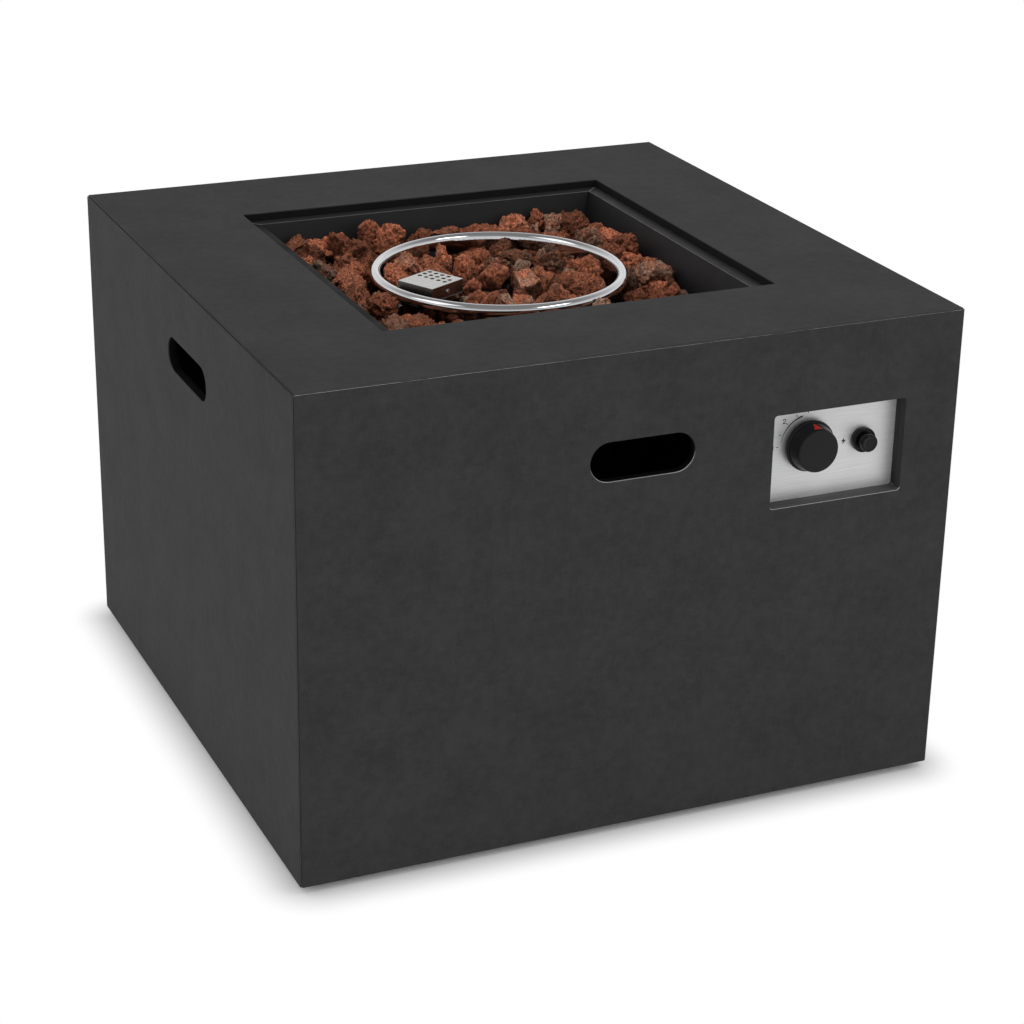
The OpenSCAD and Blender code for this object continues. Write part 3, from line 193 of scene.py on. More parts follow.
def placeLamp(s, aim):
    data = bpy.data.lights.new(s["name"], "AREA")
    data.shape = "RECTANGLE"
    data.size, data.size_y = s["size"]
    data.energy = s["power"]
    lamp = bpy.data.objects.new(s["name"], data)
    lamp.location = s["at"]
    lamp.rotation_euler = (Vector(aim) - lamp.location).to_track_quat("-Z", "Y").to_euler()
    bpy.context.scene.collection.objects.link(lamp)


def seenRays(tree):
    # 1 for what the camera sees straight, in metal or through glass
    path = addNode(tree, "ShaderNodeLightPath")
    seen = path.outputs["Is Camera Ray"]
    for ray in ("Is Glossy Ray", "Is Transmission Ray"):
        seen = addNode(tree, "ShaderNodeMath", {0: seen, 1: path.outputs[ray]}, operation="MAXIMUM")
    return seen


def makeStudio(s):
    white = hexColour(s["white"])
    world = bpy.data.worlds.new("studio")
    bpy.context.scene.world = world
    world.use_nodes = True
    tree = world.node_tree
    tree.nodes.clear()
    ray = addNode(tree, "ShaderNodeTexCoord").outputs["Generated"]
    height = addNode(tree, "ShaderNodeSeparateXYZ", {0: ray}).outputs["Z"]
    dome = addNode(tree, "ShaderNodeMapRange",
                   {"Value": height, "From Min": s["domeFrom"], "From Max": s["domeTo"], "To Min": 1.0,
                    "To Max": s["zenith"]}, interpolation_type="SMOOTHSTEP")
    level = addNode(tree, "ShaderNodeMapRange",
                    {"Value": seenRays(tree), "To Min": s["fill"], "To Max": 1.0})
    strength = addNode(tree, "ShaderNodeMath", {0: dome, 1: level}, operation="MULTIPLY")
    sky = addNode(tree, "ShaderNodeBackground", {"Color": white, "Strength": strength})
    addNode(tree, "ShaderNodeOutputWorld", {"Surface": sky})

    # floor: white, with a soft shadow close round the casing's square and none further out
    shadeIn, shadeOut = s["shadeFrom"] * millimetre, s["shadeTo"] * millimetre
    material = bpy.data.materials.new("pale studio floor")
    material.use_nodes = True
    tree = material.node_tree
    tree.nodes.clear()
    point = addNode(tree, "ShaderNodeNewGeometry").outputs["Position"]
    out = addNode(tree, "ShaderNodeVectorMath", {0: point}, operation="ABSOLUTE")
    for operation, size in (("SUBTRACT", caseHalf), ("MAXIMUM", shadeIn), ("ADD", -shadeIn)):
        out = addNode(tree, "ShaderNodeVectorMath", {0: out, 1: (size, size, 0)}, operation=operation)
    away = addNode(tree, "ShaderNodeVectorMath", {0: out}, operation="LENGTH")
    fade = addNode(tree, "ShaderNodeMapRange", {"Value": away, "From Max": shadeOut - shadeIn},
                   interpolation_type="SMOOTHSTEP")
    bare = addNode(tree, "ShaderNodeMath", {0: fade, 1: seenRays(tree)}, operation="MULTIPLY")
    matt = addNode(tree, "ShaderNodeBsdfDiffuse", {"Color": hexColour(s["floor"])})
    glow = addNode(tree, "ShaderNodeEmission", {"Color": white, "Strength": 1.0})
    mix = addNode(tree, "ShaderNodeMixShader", {0: bare, 1: matt, 2: glow})
    addNode(tree, "ShaderNodeOutputMaterial", {"Surface": mix})

    def build(shape):
        h = s["floorHalf"]
        shape.faces.new([shape.verts.new((x, y, 0)) for x, y in ((-h, -h), (h, -h), (h, h), (-h, h))])

    meshObject("studioFloor", build, material, smooth=False)
    bpy.context.scene.view_settings.view_transform = "Standard"


makeStudio(studio)
for lamp in lamps:
    placeLamp(lamp, studio["aim"])
print("studio lit")


# Cement board, sprayed charcoal: matt, faintly mottled, with the short ticks of the glass cloth in its face;
# its upper front edge and the edges of its cut-outs are painted pale, as rubbed wear and painted highlight

board = {
    "dark": "#404041", "light": "#4b4b4c", "roughness": 0.68, "shine": 0.05, "edge": 0.55,
    # each noise: its blotches in millimetres, octaves, roughness
    "noises": {"cloud": (60, 3.0, 0.5), "mottle": (9, 4.0, 0.5), "grit": (0.8, 2.0, 0.5),
               "run": (26, 5.0, 0.7)},
    "tickAcross": 1.3, "tickAlong": 9, "tickOctaves": 1.0, "toneFrom": 1.15, "toneTo": 1.85,
    "relief": 0.12, "reliefDeep": 0.4,
    # lines along the edges, wear with painted highlight and painted light: depths and widths in millimetres,
    # limits of slope, and of the patches' noise
    "wornHighlit": "#c6c6c4", "wornDeep": 0.9, "wornOff": 3.0, "lineSoft": 0.5, "slantFrom": 0.95, "slantTo": 0.995,
    "risesFrom": 0.05, "risesTo": 0.3, "joint": "#6c6c6d", "jointHalf": 1.1, "jointDeep": 10,
    "jointEnd": 0.7, "rubbedHighlit": "#d4d4d0", "rubbedHalf": 3.0, "patchFrom": 0.28, "patchTo": 0.5,
    "turnsFrom": 0.45, "turnsTo": 0.55,
    # cut faces: painted shade round the opening and in the hand slots, painted light on the ledges
    "inner": "#1f1f20", "innerDeep": 1.2, "opening": 432, "openingSkin": 1, "slot": "#131314", "slotOff": 20,
    "slotReach": 80, "ledge": "#626263", "ledgeUp": 0.7,
}


def cementBoard(s):
    material, tree, shader = newMaterial("sprayed cement board", s["dark"], s["roughness"], shine=s["shine"])
    where = addNode(tree, "ShaderNodeTexCoord").outputs["Object"]
    noises = {}
    for name, (size, octaves, rough) in s["noises"].items():
        noises[name] = addNode(tree, "ShaderNodeTexNoise", {"Vector": where, "Scale": grains(size),
                                                            "Detail": octaves, "Roughness": rough})
    # the cloth is drawn coarser than it is so that it shows: short ticks along each axis in turn
    ticks = 0.0
    for axis in range(3):
        stretch = [grains(s["tickAcross"])] * 3
        stretch[axis] = grains(s["tickAlong"])
        placed = addNode(tree, "ShaderNodeMapping", {"Vector": where, "Scale": stretch})
        thread = addNode(tree, "ShaderNodeTexNoise",
                         {"Vector": placed, "Scale": 1.0, "Detail": s["tickOctaves"]})
        ticks = addNode(tree, "ShaderNodeMath", {0: ticks, 1: thread}, operation="ADD")
    ticks = addNode(tree, "ShaderNodeMath", {0: ticks, 1: 1 / 3}, operation="MULTIPLY")
    tone = noises["cloud"]
    for part in (noises["mottle"], ticks):
        tone = addNode(tree, "ShaderNodeMath", {0: tone, 1: part}, operation="ADD")
    tone = addNode(tree, "ShaderNodeMapRange",
                   {"Value": tone, "From Min": s["toneFrom"], "From Max": s["toneTo"]})
    colour = addNode(tree, "ShaderNodeMix", {0: tone, 6: hexColour(s["dark"]), 7: hexColour(s["light"])},
                     data_type="RGBA")

    # depths under the casing's sides and top tell its edges and cut faces apart
    place = addNode(tree, "ShaderNodeSeparateXYZ", {0: where})
    deep = {}
    for axis, face in (("X", caseHalf), ("Y", caseHalf), ("Z", caseTop)):
        out = addNode(tree, "ShaderNodeMath", {0: place.outputs[axis]}, operation="ABSOLUTE")
        deep[axis] = addNode(tree, "ShaderNodeMath", {0: face, 1: out}, operation="SUBTRACT")

    def byDepth(axis, depth, operation="GREATER_THAN"):
        # 1 deeper than this many millimetres, or nearer the face with LESS_THAN
        return addNode(tree, "ShaderNodeMath", {0: deep[axis], 1: depth * millimetre}, operation=operation)

    def overlap(*masks):
        # what all the masks have in common
        common = masks[0]
        for mask in masks[1:]:
            common = addNode(tree, "ShaderNodeMath", {0: common, 1: mask}, operation="MULTIPLY")
        return common

    def edgeLine(first, second, half):
        # 1 on the round edge where two of the depths run out together
        both = addNode(tree, "ShaderNodeMath", {0: deep[first], 1: deep[second]}, operation="ADD")
        return addNode(tree, "ShaderNodeMapRange",
                       {"Value": both, "From Min": half * millimetre,
                        "From Max": (half + s["lineSoft"]) * millimetre, "To Min": 1.0, "To Max": 0.0})

    # broken edges that face up, told by their slanted normals close under the front and rear, are painted
    # paler: wear, and a painted highlight where light from above catches them
    normal = addNode(tree, "ShaderNodeNewGeometry").outputs["Normal"]
    upward = addNode(tree, "ShaderNodeSeparateXYZ", {0: normal}).outputs["Z"]
    facing = addNode(tree, "ShaderNodeVectorMath", {0: normal}, operation="ABSOLUTE")
    facing = addNode(tree, "ShaderNodeSeparateXYZ", {0: facing})
    square = facing.outputs["X"]
    for axis in "YZ":
        square = addNode(tree, "ShaderNodeMath", {0: square, 1: facing.outputs[axis]}, operation="MAXIMUM")
    slant = addNode(tree, "ShaderNodeMapRange",
                    {"Value": square, "From Min": s["slantFrom"], "From Max": s["slantTo"], "To Min": 1.0,
                     "To Max": 0.0})
    rises = addNode(tree, "ShaderNodeMapRange",
                    {"Value": upward, "From Min": s["risesFrom"], "From Max": s["risesTo"]})
    wornHighlit = overlap(slant, byDepth("Y", s["wornDeep"], "LESS_THAN"), rises)
    coats = []
    for first, second, third in ("XYZ", "XZY", "YZX"):
        line = edgeLine(first, second, s["wornOff"])
        off = addNode(tree, "ShaderNodeMath", {0: 1.0, 1: line}, operation="SUBTRACT")
        wornHighlit = overlap(wornHighlit, off)
        # the boards' mitred edges in the joint between them are painted paler: painted light that lifts the
        # shade in the narrow groove
        apart = addNode(tree, "ShaderNodeMath", {0: deep[first], 1: deep[second]}, operation="SUBTRACT")
        apart = addNode(tree, "ShaderNodeMath", {0: apart}, operation="ABSOLUTE")
        joint = addNode(tree, "ShaderNodeMath", {0: apart, 1: s["jointHalf"] * millimetre},
                        operation="LESS_THAN")
        joint = overlap(joint, byDepth(first, s["jointDeep"], "LESS_THAN"), byDepth(third, s["jointEnd"]))
        coats.append((joint, s["joint"]))

    # the cut faces round the fire opening are painted nearly black, below their upper edge: painted shade
    # inside the opening
    reach = caseHalf / millimetre - s["opening"] / 2 - s["openingSkin"]
    shadowed = overlap(byDepth("X", reach), byDepth("Y", reach), byDepth("Z", s["innerDeep"]))
    # the cut faces of the hand slots are painted darker still, as painted shade, and the lower ledge of the
    # control recess is painted paler, as painted light
    beside = byDepth("Z", s["slotOff"])
    sideSlots = overlap(byDepth("Y", s["slotOff"]), byDepth("X", s["innerDeep"]))
    frontSlots = overlap(byDepth("X", caseHalf / millimetre - s["slotReach"]), byDepth("Y", s["innerDeep"]))
    slot = addNode(tree, "ShaderNodeMath", {0: sideSlots, 1: frontSlots}, operation="MAXIMUM")
    ledge = addNode(tree, "ShaderNodeMath", {0: upward, 1: s["ledgeUp"]}, operation="GREATER_THAN")
    # the upper front and rear edges are painted pale in patches, on the upright panel's broken edge: rubbed
    # wear, and a painted highlight where light from above catches them
    patchy = addNode(tree, "ShaderNodeMapRange",
                     {"Value": noises["run"], "From Min": s["patchFrom"], "From Max": s["patchTo"]})
    side = addNode(tree, "ShaderNodeMath", {0: deep["Z"], 1: deep["Y"]}, operation="GREATER_THAN")
    turns = addNode(tree, "ShaderNodeMapRange",
                    {"Value": facing.outputs["Z"], "From Min": s["turnsFrom"], "From Max": s["turnsTo"]})
    rubbedHighlit = overlap(edgeLine("Y", "Z", s["rubbedHalf"]), patchy, side, turns)
    coats += [(overlap(ledge, beside), s["ledge"]), (wornHighlit, s["wornHighlit"]), (shadowed, s["inner"]),
              (overlap(slot, beside), s["slot"]), (rubbedHighlit, s["rubbedHighlit"])]
    for mask, tint in coats:
        colour = addNode(tree, "ShaderNodeMix", {0: mask, 6: colour, 7: hexColour(tint)}, data_type="RGBA")
    relief = addNode(tree, "ShaderNodeMath", {0: noises["grit"], 1: ticks}, operation="ADD")
    bump = addNode(tree, "ShaderNodeBump", {"Height": relief, "Strength": s["relief"],
                                            "Distance": s["reliefDeep"] * millimetre})
    feed(tree, shader, {"Base Color": colour, "Normal": bump})
    return material


panels = ["top_panel", "front_panel", "rear_panel", "left_panel", "right_panel"]
dress(panels, cementBoard(board), edge=board["edge"], clamp=False)
print("casing dressed")


# Powder-coated steel: near black, low gloss, with a fine orange peel; paler on top, as dust and painted
# light, and pale at its broken edges that face up, as rubbed wear and painted highlight

coat = {
    "name": "black powder coat", "colour": "#1b1b1c", "dust": "#252525", "wornHighlit": "#a0a09e",
    "roughness": 0.55, "shine": 0.3, "peel": 1.4, "peelOctaves": 2.0, "relief": 0.15, "reliefDeep": 0.2,
    "cloud": 40, "cloudOctaves": 3.0, "cloudFrom": 0.3, "cloudTo": 0.7, "glossier": 0.06, "duller": 0.08,
    # slopes at which the rubbed and highlit edge begins, is full, is still full and has gone over to the dust
    # and painted light on top
    "rubbing": (0.28, 0.36, 0.96, 0.985),
}
# painted pale where it faces up, to the tone of the ledge before it: painted light
toplitCoat = dict(coat, name="toplit powder coat", dust="#59595a", wornHighlit="#59595a")
# painted darker where it faces up, dull, with no bright edge: painted shade, where the board shades it
shadowedCoat = dict(coat, name="shadowed powder coat", dust="#151516", wornHighlit="#1b1b1c", shine=0.06)


def powderCoat(s):
    material, tree, shader = newMaterial(s["name"], s["colour"], s["roughness"], shine=s["shine"])
    where = addNode(tree, "ShaderNodeTexCoord").outputs["Object"]
    peel = addNode(tree, "ShaderNodeTexNoise",
                   {"Vector": where, "Scale": grains(s["peel"]), "Detail": s["peelOctaves"]})
    cloud = addNode(tree, "ShaderNodeTexNoise",
                    {"Vector": where, "Scale": grains(s["cloud"]), "Detail": s["cloudOctaves"]})
    gloss = addNode(tree, "ShaderNodeMapRange",
                    {"Value": cloud, "From Min": s["cloudFrom"], "From Max": s["cloudTo"],
                     "To Min": s["roughness"] - s["glossier"], "To Max": s["roughness"] + s["duller"]})
    bump = addNode(tree, "ShaderNodeBump", {"Height": peel, "Strength": s["relief"],
                                            "Distance": s["reliefDeep"] * millimetre})
    normal = addNode(tree, "ShaderNodeNewGeometry").outputs["Normal"]
    upward = addNode(tree, "ShaderNodeSeparateXYZ", {0: normal}).outputs["Z"]
    tone = addNode(tree, "ShaderNodeValToRGB", {"Fac": upward})
    stops = tone.color_ramp.elements
    stops[0].color = hexColour(s["colour"])
    stops[1].color = hexColour(s["dust"])
    for slope, part in zip(s["rubbing"], ("colour", "wornHighlit", "wornHighlit", "dust")):
        stops.new(slope).color = hexColour(s[part])
    feed(tree, shader, {"Base Color": tone, "Roughness": gloss, "Normal": bump})
    return material


blackCoat = powderCoat(coat)
corners = ["front_left", "front_right", "rear_right", "rear_left"]
dress(["pan_support_frame"] + ["corner_angle_" + c for c in corners], blackCoat, edge=0.3)
dress(["pan_floor", "pan_wall_front", "pan_wall_right", "pan_wall_rear"], blackCoat, edge=0.6, segments=3)
dress(["pan_wall_left"], powderCoat(shadowedCoat), edge=0.6, segments=3)
dress(["spacer_frame"], powderCoat(toplitCoat), edge=0.3)
print("coated steel dressed")


# Metals: the grain of each is noise drawn out along its brushing, or round the axis it was rolled about

metalGrain = {"octaves": 3.0, "glossFrom": 0.25, "glossTo": 0.75, "toneFrom": 0.3, "toneTo": 0.7,
              "brownTo": 0.3, "brightFrom": 0.8, "reliefDeep": 0.2}


def grainedMetal(name, colour, roughness, spread, grain, relief=0.05, dim=0.82, turned=False, metallic=1.0,
                 heatTintAndShade=None):
    # grain: millimetres along X, Y and Z, or across, along the axis and round it if turned
    s = metalGrain
    material, tree, shader = newMaterial(name, colour, roughness, metallic=metallic)
    where = addNode(tree, "ShaderNodeTexCoord").outputs["Object"]
    if turned:
        place = addNode(tree, "ShaderNodeSeparateXYZ", {0: where}).outputs
        flat = addNode(tree, "ShaderNodeCombineXYZ", {0: place["X"], 1: place["Y"]})
        out = addNode(tree, "ShaderNodeVectorMath", {0: flat}, operation="LENGTH")
        angle = addNode(tree, "ShaderNodeMath", {0: place["Y"], 1: place["X"]}, operation="ARCTAN2")
        where = addNode(tree, "ShaderNodeCombineXYZ", {0: out, 1: place["Z"], 2: angle})
    placed = addNode(tree, "ShaderNodeMapping", {"Vector": where, "Scale": [grains(g) for g in grain]})
    streak = addNode(tree, "ShaderNodeTexNoise", {"Vector": placed, "Scale": 1.0, "Detail": s["octaves"]})
    gloss = addNode(tree, "ShaderNodeMapRange",
                    {"Value": streak, "From Min": s["glossFrom"], "From Max": s["glossTo"],
                     "To Min": roughness - spread, "To Max": roughness + spread})
    base = hexColour(colour)
    dull = [c * dim for c in base[:3]] + [1]
    depth = addNode(tree, "ShaderNodeMapRange",
                    {"Value": streak, "From Min": s["toneFrom"], "From Max": s["toneTo"]})
    tone = addNode(tree, "ShaderNodeMix", {0: depth, 6: dull, 7: base}, data_type="RGBA")
    if heatTintAndShade:
        # what doesn't face up is painted straw brown: heat tint, and painted shade with a warm reflection
        normal = addNode(tree, "ShaderNodeNewGeometry").outputs["Normal"]
        upward = addNode(tree, "ShaderNodeSeparateXYZ", {0: normal}).outputs["Z"]
        upper = addNode(tree, "ShaderNodeMapRange",
                        {"Value": upward, "From Min": s["brownTo"], "From Max": s["brightFrom"]})
        tone = addNode(tree, "ShaderNodeMix", {0: upper, 6: hexColour(heatTintAndShade), 7: tone}, data_type="RGBA")
    bump = addNode(tree, "ShaderNodeBump", {"Height": streak, "Strength": relief,
                                            "Distance": s["reliefDeep"] * millimetre})
    feed(tree, shader, {"Base Color": tone, "Roughness": gloss, "Normal": bump})
    return material


# rolled and polished: clear reflections, a little drawn out round the ring
polished = grainedMetal("polished stainless steel", "#cfcfd1", roughness=0.1, spread=0.03,
                        grain=(1.5, 1.5, 400), relief=0.01, turned=True)
# brushed along its length: fine bright and dull lines, drawn coarse enough to show
brushed = grainedMetal("brushed stainless steel", "#f0f0f1", roughness=0.45, spread=0.05,
                       grain=(55, 0.9, 0.9), relief=0.06, metallic=0.5)
# the same brushing, tarnished by heat: bright on top, straw brown at its sides, partly heat tint and partly
# painted shade with a warm reflection
heated = grainedMetal("heat-dulled brushed steel", "#c6c5c2", roughness=0.28, spread=0.05,
                      grain=(30, 1.0, 1.0), relief=0.03, dim=0.8, heatTintAndShade="#7d756f")
# plated: cool and bright, with a faint cloudiness
zinc = grainedMetal("bright zinc plate", "#b9bbbe", roughness=0.3, spread=0.08, grain=(3, 3, 3))
# pressed from plain sheet: grey and dull, with soft marks along the sheet
dullSteel = grainedMetal("burner sheet steel", "#87878a", roughness=0.45, spread=0.08, grain=(12, 4, 4))
# drawn wire and ground pins: smooth grey with small glints
springSteel = grainedMetal("spring wire", "#a7a9ac", roughness=0.3, spread=0.06, grain=(2, 2, 2))
# turned: warm yellow with soft glints
brass = grainedMetal("turned brass", "#b8924e", roughness=0.3, spread=0.08, grain=(2, 2, 2))
# cast in sand: pale grey, dull and slightly pebbled
castAlloy = grainedMetal("cast aluminium", "#8f9194", roughness=0.5, spread=0.08, grain=(1.5, 1.5, 1.5),
                         relief=0.2)
# drawn tube: pale and smooth
drawnAlloy = grainedMetal("drawn aluminium", "#c3c5c8", roughness=0.32, spread=0.05, grain=(4, 4, 4))
# drawn tube: dull orange brown
copper = grainedMetal("copper sensor tube", "#b87f55", roughness=0.35, spread=0.08, grain=(3, 3, 3))

fasteners = ["angle_screws", "foot_nuts", "frame_screws", "control_screws", "ring_screws", "ring_nuts",
             "cover_screws"]
brassPieces = ["burner_locknut", "orifice_elbow", "pipe_nuts", "valve_nut", "inlet_fitting", "magnet_unit",
               "valve_plug"]
dress(["guard_ring"], polished)
dress(["control_plate"], brushed, edge=0.25)
dress(["pilot_cover", "ring_brackets"], heated, edge=0.4)
dress(fasteners, zinc, edge=0.2)
dress(["gas_burner", "pilot_bracket"], dullSteel, edge=0.2)
dress(brassPieces, brass, edge=0.25)
dress(["air_mixer", "valve_body"], castAlloy, edge=0.4)
dress(["gas_pipe"], drawnAlloy)
dress(["electrode_tip", "push_pin", "valve_stem"], springSteel, edge=0.15)
dress(["flame_sensor"], copper)
print("metals dressed")


# Plastics, rubber, ceramic and paint: moulded or sprayed skins with a fine texture

skinGrain = {"octaves": 2.0, "from": 0.3, "to": 0.7, "glossier": 0.04, "duller": 0.05, "relief": 0.08,
             "reliefDeep": 0.1}


def mouldedSkin(name, colour, roughness, texture, shine=0.5):
    # texture: size of the skin's grain in millimetres
    s = skinGrain
    material, tree, shader = newMaterial(name, colour, roughness, shine=shine)
    where = addNode(tree, "ShaderNodeTexCoord").outputs["Object"]
    skin = addNode(tree, "ShaderNodeTexNoise",
                   {"Vector": where, "Scale": grains(texture), "Detail": s["octaves"]})
    gloss = addNode(tree, "ShaderNodeMapRange",
                    {"Value": skin, "From Min": s["from"], "From Max": s["to"],
                     "To Min": roughness - s["glossier"], "To Max": roughness + s["duller"]})
    bump = addNode(tree, "ShaderNodeBump", {"Height": skin, "Strength": s["relief"],
                                            "Distance": s["reliefDeep"] * millimetre})
    feed(tree, shader, {"Roughness": gloss, "Normal": bump})
    return material


# pressed in a smooth mould: black with a tight, weak gloss
knobPlastic = mouldedSkin("moulded black phenolic", "#28282a", roughness=0.22, texture=0.8, shine=0.11)
# moulded, deeper black and a little glossier than the knob
igniterPlastic = mouldedSkin("moulded black nylon", "#121213", roughness=0.2, texture=0.8, shine=0.18)
# flooded into the knob's groove: strong red, half gloss
pointerPaint = mouldedSkin("red filling paint", "#d8281c", roughness=0.4, texture=0.5)
# screen printed: flat black film
printInk = mouldedSkin("black printing ink", "#141415", roughness=0.6, texture=0.4, shine=0.3)
# moulded: dull black
footRubber = mouldedSkin("moulded rubber", "#19191a", roughness=0.7, texture=0.6, shine=0.3)
# fired without glaze: chalky cream
ceramic = mouldedSkin("unglazed steatite", "#e6e0d2", roughness=0.55, texture=0.7)
# extruded: soft dark red
redSilicone = mouldedSkin("red silicone sleeve", "#8e2f22", roughness=0.5, texture=1.0)
# extruded: soft orange brown
copperSleeve = mouldedSkin("copper-coloured sleeve", "#a8683c", roughness=0.45, texture=0.5)

dress(["control_knob"], knobPlastic, edge=0.5, segments=3)
dress(["knob_pointer"], pointerPaint)
dress(["igniter_collar", "igniter_button", "igniter_barrel"], igniterPlastic, edge=0.2)
dress(["foot_" + c for c in corners], footRubber, edge=0.4)
dress(["ignition_electrode"], ceramic, edge=0.2)
print("plastics dressed")


# Marks printed on the control plate: a dial of ticks and numbers round the knob, and a spark by the igniter

marks = {"ink": 0.05, "ticks": 5, "sweep": 90, "tickFrom": 32.4, "tickTo": 34.8, "tickWidth": 0.7,
         "arcRadius": 29.6, "arcThin": 0.3, "arcThick": 1.7, "arcFrom": 82, "arcTo": 12, "arcSteps": 20,
         "digitAt": 38.2, "digitHeight": 4.6, "digitWidth": 2.8, "stroke": 0.75,
         "digits": {0: "0", 45: "2", 90: "1"}, "sparkLeft": 21, "sparkHeight": 7.5}
# strokes and outline in a box of 1 by 1
hookTurn = [math.pi * k / 9 for k in range(11)]
fullTurn = [math.pi * k / 12 for k in range(25)]
digitStrokes = {
    "0": [(0.5 + 0.5 * math.sin(a), 0.5 + 0.5 * math.cos(a)) for a in fullTurn],
    "1": [(0.2, 0.8), (0.55, 1.0), (0.55, 0.0)],
    "2": [(0.5 - 0.5 * math.cos(a), 0.68 + 0.32 * math.sin(a)) for a in hookTurn] + [(0.0, 0.0), (1.0, 0.0)],
}
sparkOutline = [(0.62, 1.0), (0.12, 0.45), (0.46, 0.45), (0.28, 0.0), (0.88, 0.62), (0.52, 0.62)]


def printMarks(s):
    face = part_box("control_plate")[0].y
    knobLow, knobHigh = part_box("control_knob")
    dial = (knobLow + knobHigh) / 2
    igniterLow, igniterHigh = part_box("igniter_collar")
    igniter = (igniterLow + igniterHigh) / 2

    def slab(shape, outline):
        # flat film of ink on the plate, from points in X and Z
        front = [shape.verts.new((x, face - s["ink"] * millimetre, z)) for x, z in outline]
        back = [shape.verts.new((x, face, z)) for x, z in outline]
        shape.faces.new(front)
        shape.faces.new(back[::-1])
        for i in range(len(front)):
            j = (i + 1) % len(front)
            shape.faces.new((front[j], front[i], back[i], back[j]))

    def line(shape, points, width):
        # each stroke runs on by a quarter of its width, to close the corners
        for (x0, z0), (x1, z1) in zip(points, points[1:]):
            run = Vector((x1 - x0, z1 - z0))
            side = Vector((-run.y, run.x)).normalized() * width / 2
            tip = run.normalized() * width / 4
            ends = ((x0, z0, -1, 1), (x0, z0, -1, -1), (x1, z1, 1, -1), (x1, z1, 1, 1))
            slab(shape, [(x + u * tip.x + v * side.x, z + u * tip.y + v * side.y) for x, z, u, v in ends])

    def onDial(angle, radius):
        # angle runs anticlockwise from the top
        a = math.radians(angle)
        return (dial.x - radius * millimetre * math.sin(a), dial.z + radius * millimetre * math.cos(a))

    def build(shape):
        for k in range(s["ticks"]):
            angle = s["sweep"] * k / (s["ticks"] - 1)
            ends = [onDial(angle, s["tickFrom"]), onDial(angle, s["tickTo"])]
            line(shape, ends, s["tickWidth"] * millimetre)
        steps = s["arcSteps"]
        inner, outer = [], []
        for k in range(steps + 1):
            angle = s["arcFrom"] + (s["arcTo"] - s["arcFrom"]) * k / steps
            thick = s["arcThin"] + (s["arcThick"] - s["arcThin"]) * k / steps
            inner.append(onDial(angle, s["arcRadius"]))
            outer.append(onDial(angle, s["arcRadius"] + thick))
        for k in range(steps):
            slab(shape, [inner[k], inner[k + 1], outer[k + 1], outer[k]])
        wide, tall = s["digitWidth"] * millimetre, s["digitHeight"] * millimetre
        for angle, digit in s["digits"].items():
            x, z = onDial(angle, s["digitAt"])
            points = [(x + (u - 0.5) * wide, z + (v - 0.5) * tall) for u, v in digitStrokes[digit]]
            line(shape, points, s["stroke"] * millimetre)
        tall = s["sparkHeight"] * millimetre
        x, z = igniter.x - s["sparkLeft"] * millimetre, igniter.z
        slab(shape, [(x + (u - 0.5) * tall, z + (v - 0.5) * tall) for u, v in sparkOutline])

    piece = meshObject("plateMarks", build, printInk, smooth=False)
    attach(piece, "table")


printMarks(marks)
print("plate printed")


# Lava rock: baked red-brown clinker, dull, broken to flat faces and riddled with gas holes

lava = {
    # forms of mean radius 1; turns are ups and downs of the noise in that length
    "seed": 7, "fineForms": 14, "fineDetail": 5, "plainForms": 8, "plainDetail": 4, "chips": 8,
    "chipFrom": 0.36, "chipTo": 0.8, "stretch": 0.22, "lump": 0.16, "lumpTurns": 1.4, "knobble": 0.1,
    "knobbleTurns": 3.1, "crag": 0.17, "cragTurns": 2.0, "cragRise": 0.4, "grit": 0.06, "gritTurns": 15,
    "pit": 0.2, "pitsAcross": 5.2, "pitWide": 0.45, "apart": 50, "swell": 1.09,
    # colours; each noise: its blotches in millimetres, octaves, roughness
    "rust": "#b87053", "brown": "#785241", "ash": "#9d8573", "hole": "#120a07", "roughness": 0.94,
    "shine": 0.15, "noises": {"patch": (14, 5.0, 0.5), "speck": (3.4, 5.0, 0.7)}, "mixFrom": 0.35,
    "mixTo": 1.6, "rustFrom": 0.38, "rustTo": 0.64, "smallHole": 2.4, "holeFrom": 0.1, "holeTo": 0.45,
    "holeShade": 0.38, "pitShade": 0.12, "speckFrom": 0.32, "speckTo": 0.68, "speckDark": 0.35,
    "speckPale": 1.7, "toneTurns": 7.3, "dim": 0.55, "pale": 1.42, "undershadeFrom": -0.35, "toplitTo": 0.7,
    "under": 0.3, "toplit": 1.2, "relief": 1.0, "reliefDeep": 2,
    # the bed, in millimetres; the cover's turn in degrees
    "ringWall": 129, "bead": 140.5, "beadLow": 484, "ringInner": 123.5, "panSlope": 0.23, "panSkin": 1.7,
    "coverTurn": 28, "coverGap": 1.5, "lift": 0.2,
    # strewing: sizes and levels in millimetres, numbers of rocks and rubble, and room to leave in rock radii
    "upper": (13, 20), "rubble": (5, 8.5), "outsideCount": (96, 40), "insideCount": (34, 22),
    "outsideTop": 503, "insideTop": 497, "frontTop": 491, "frontFrom": -60, "frontTo": 200, "reach": 12,
    "coverRoom": 0.8, "ringRoom": 0.8, "wallRoom": 0.9, "sink": 0.9, "throws": 60,
}


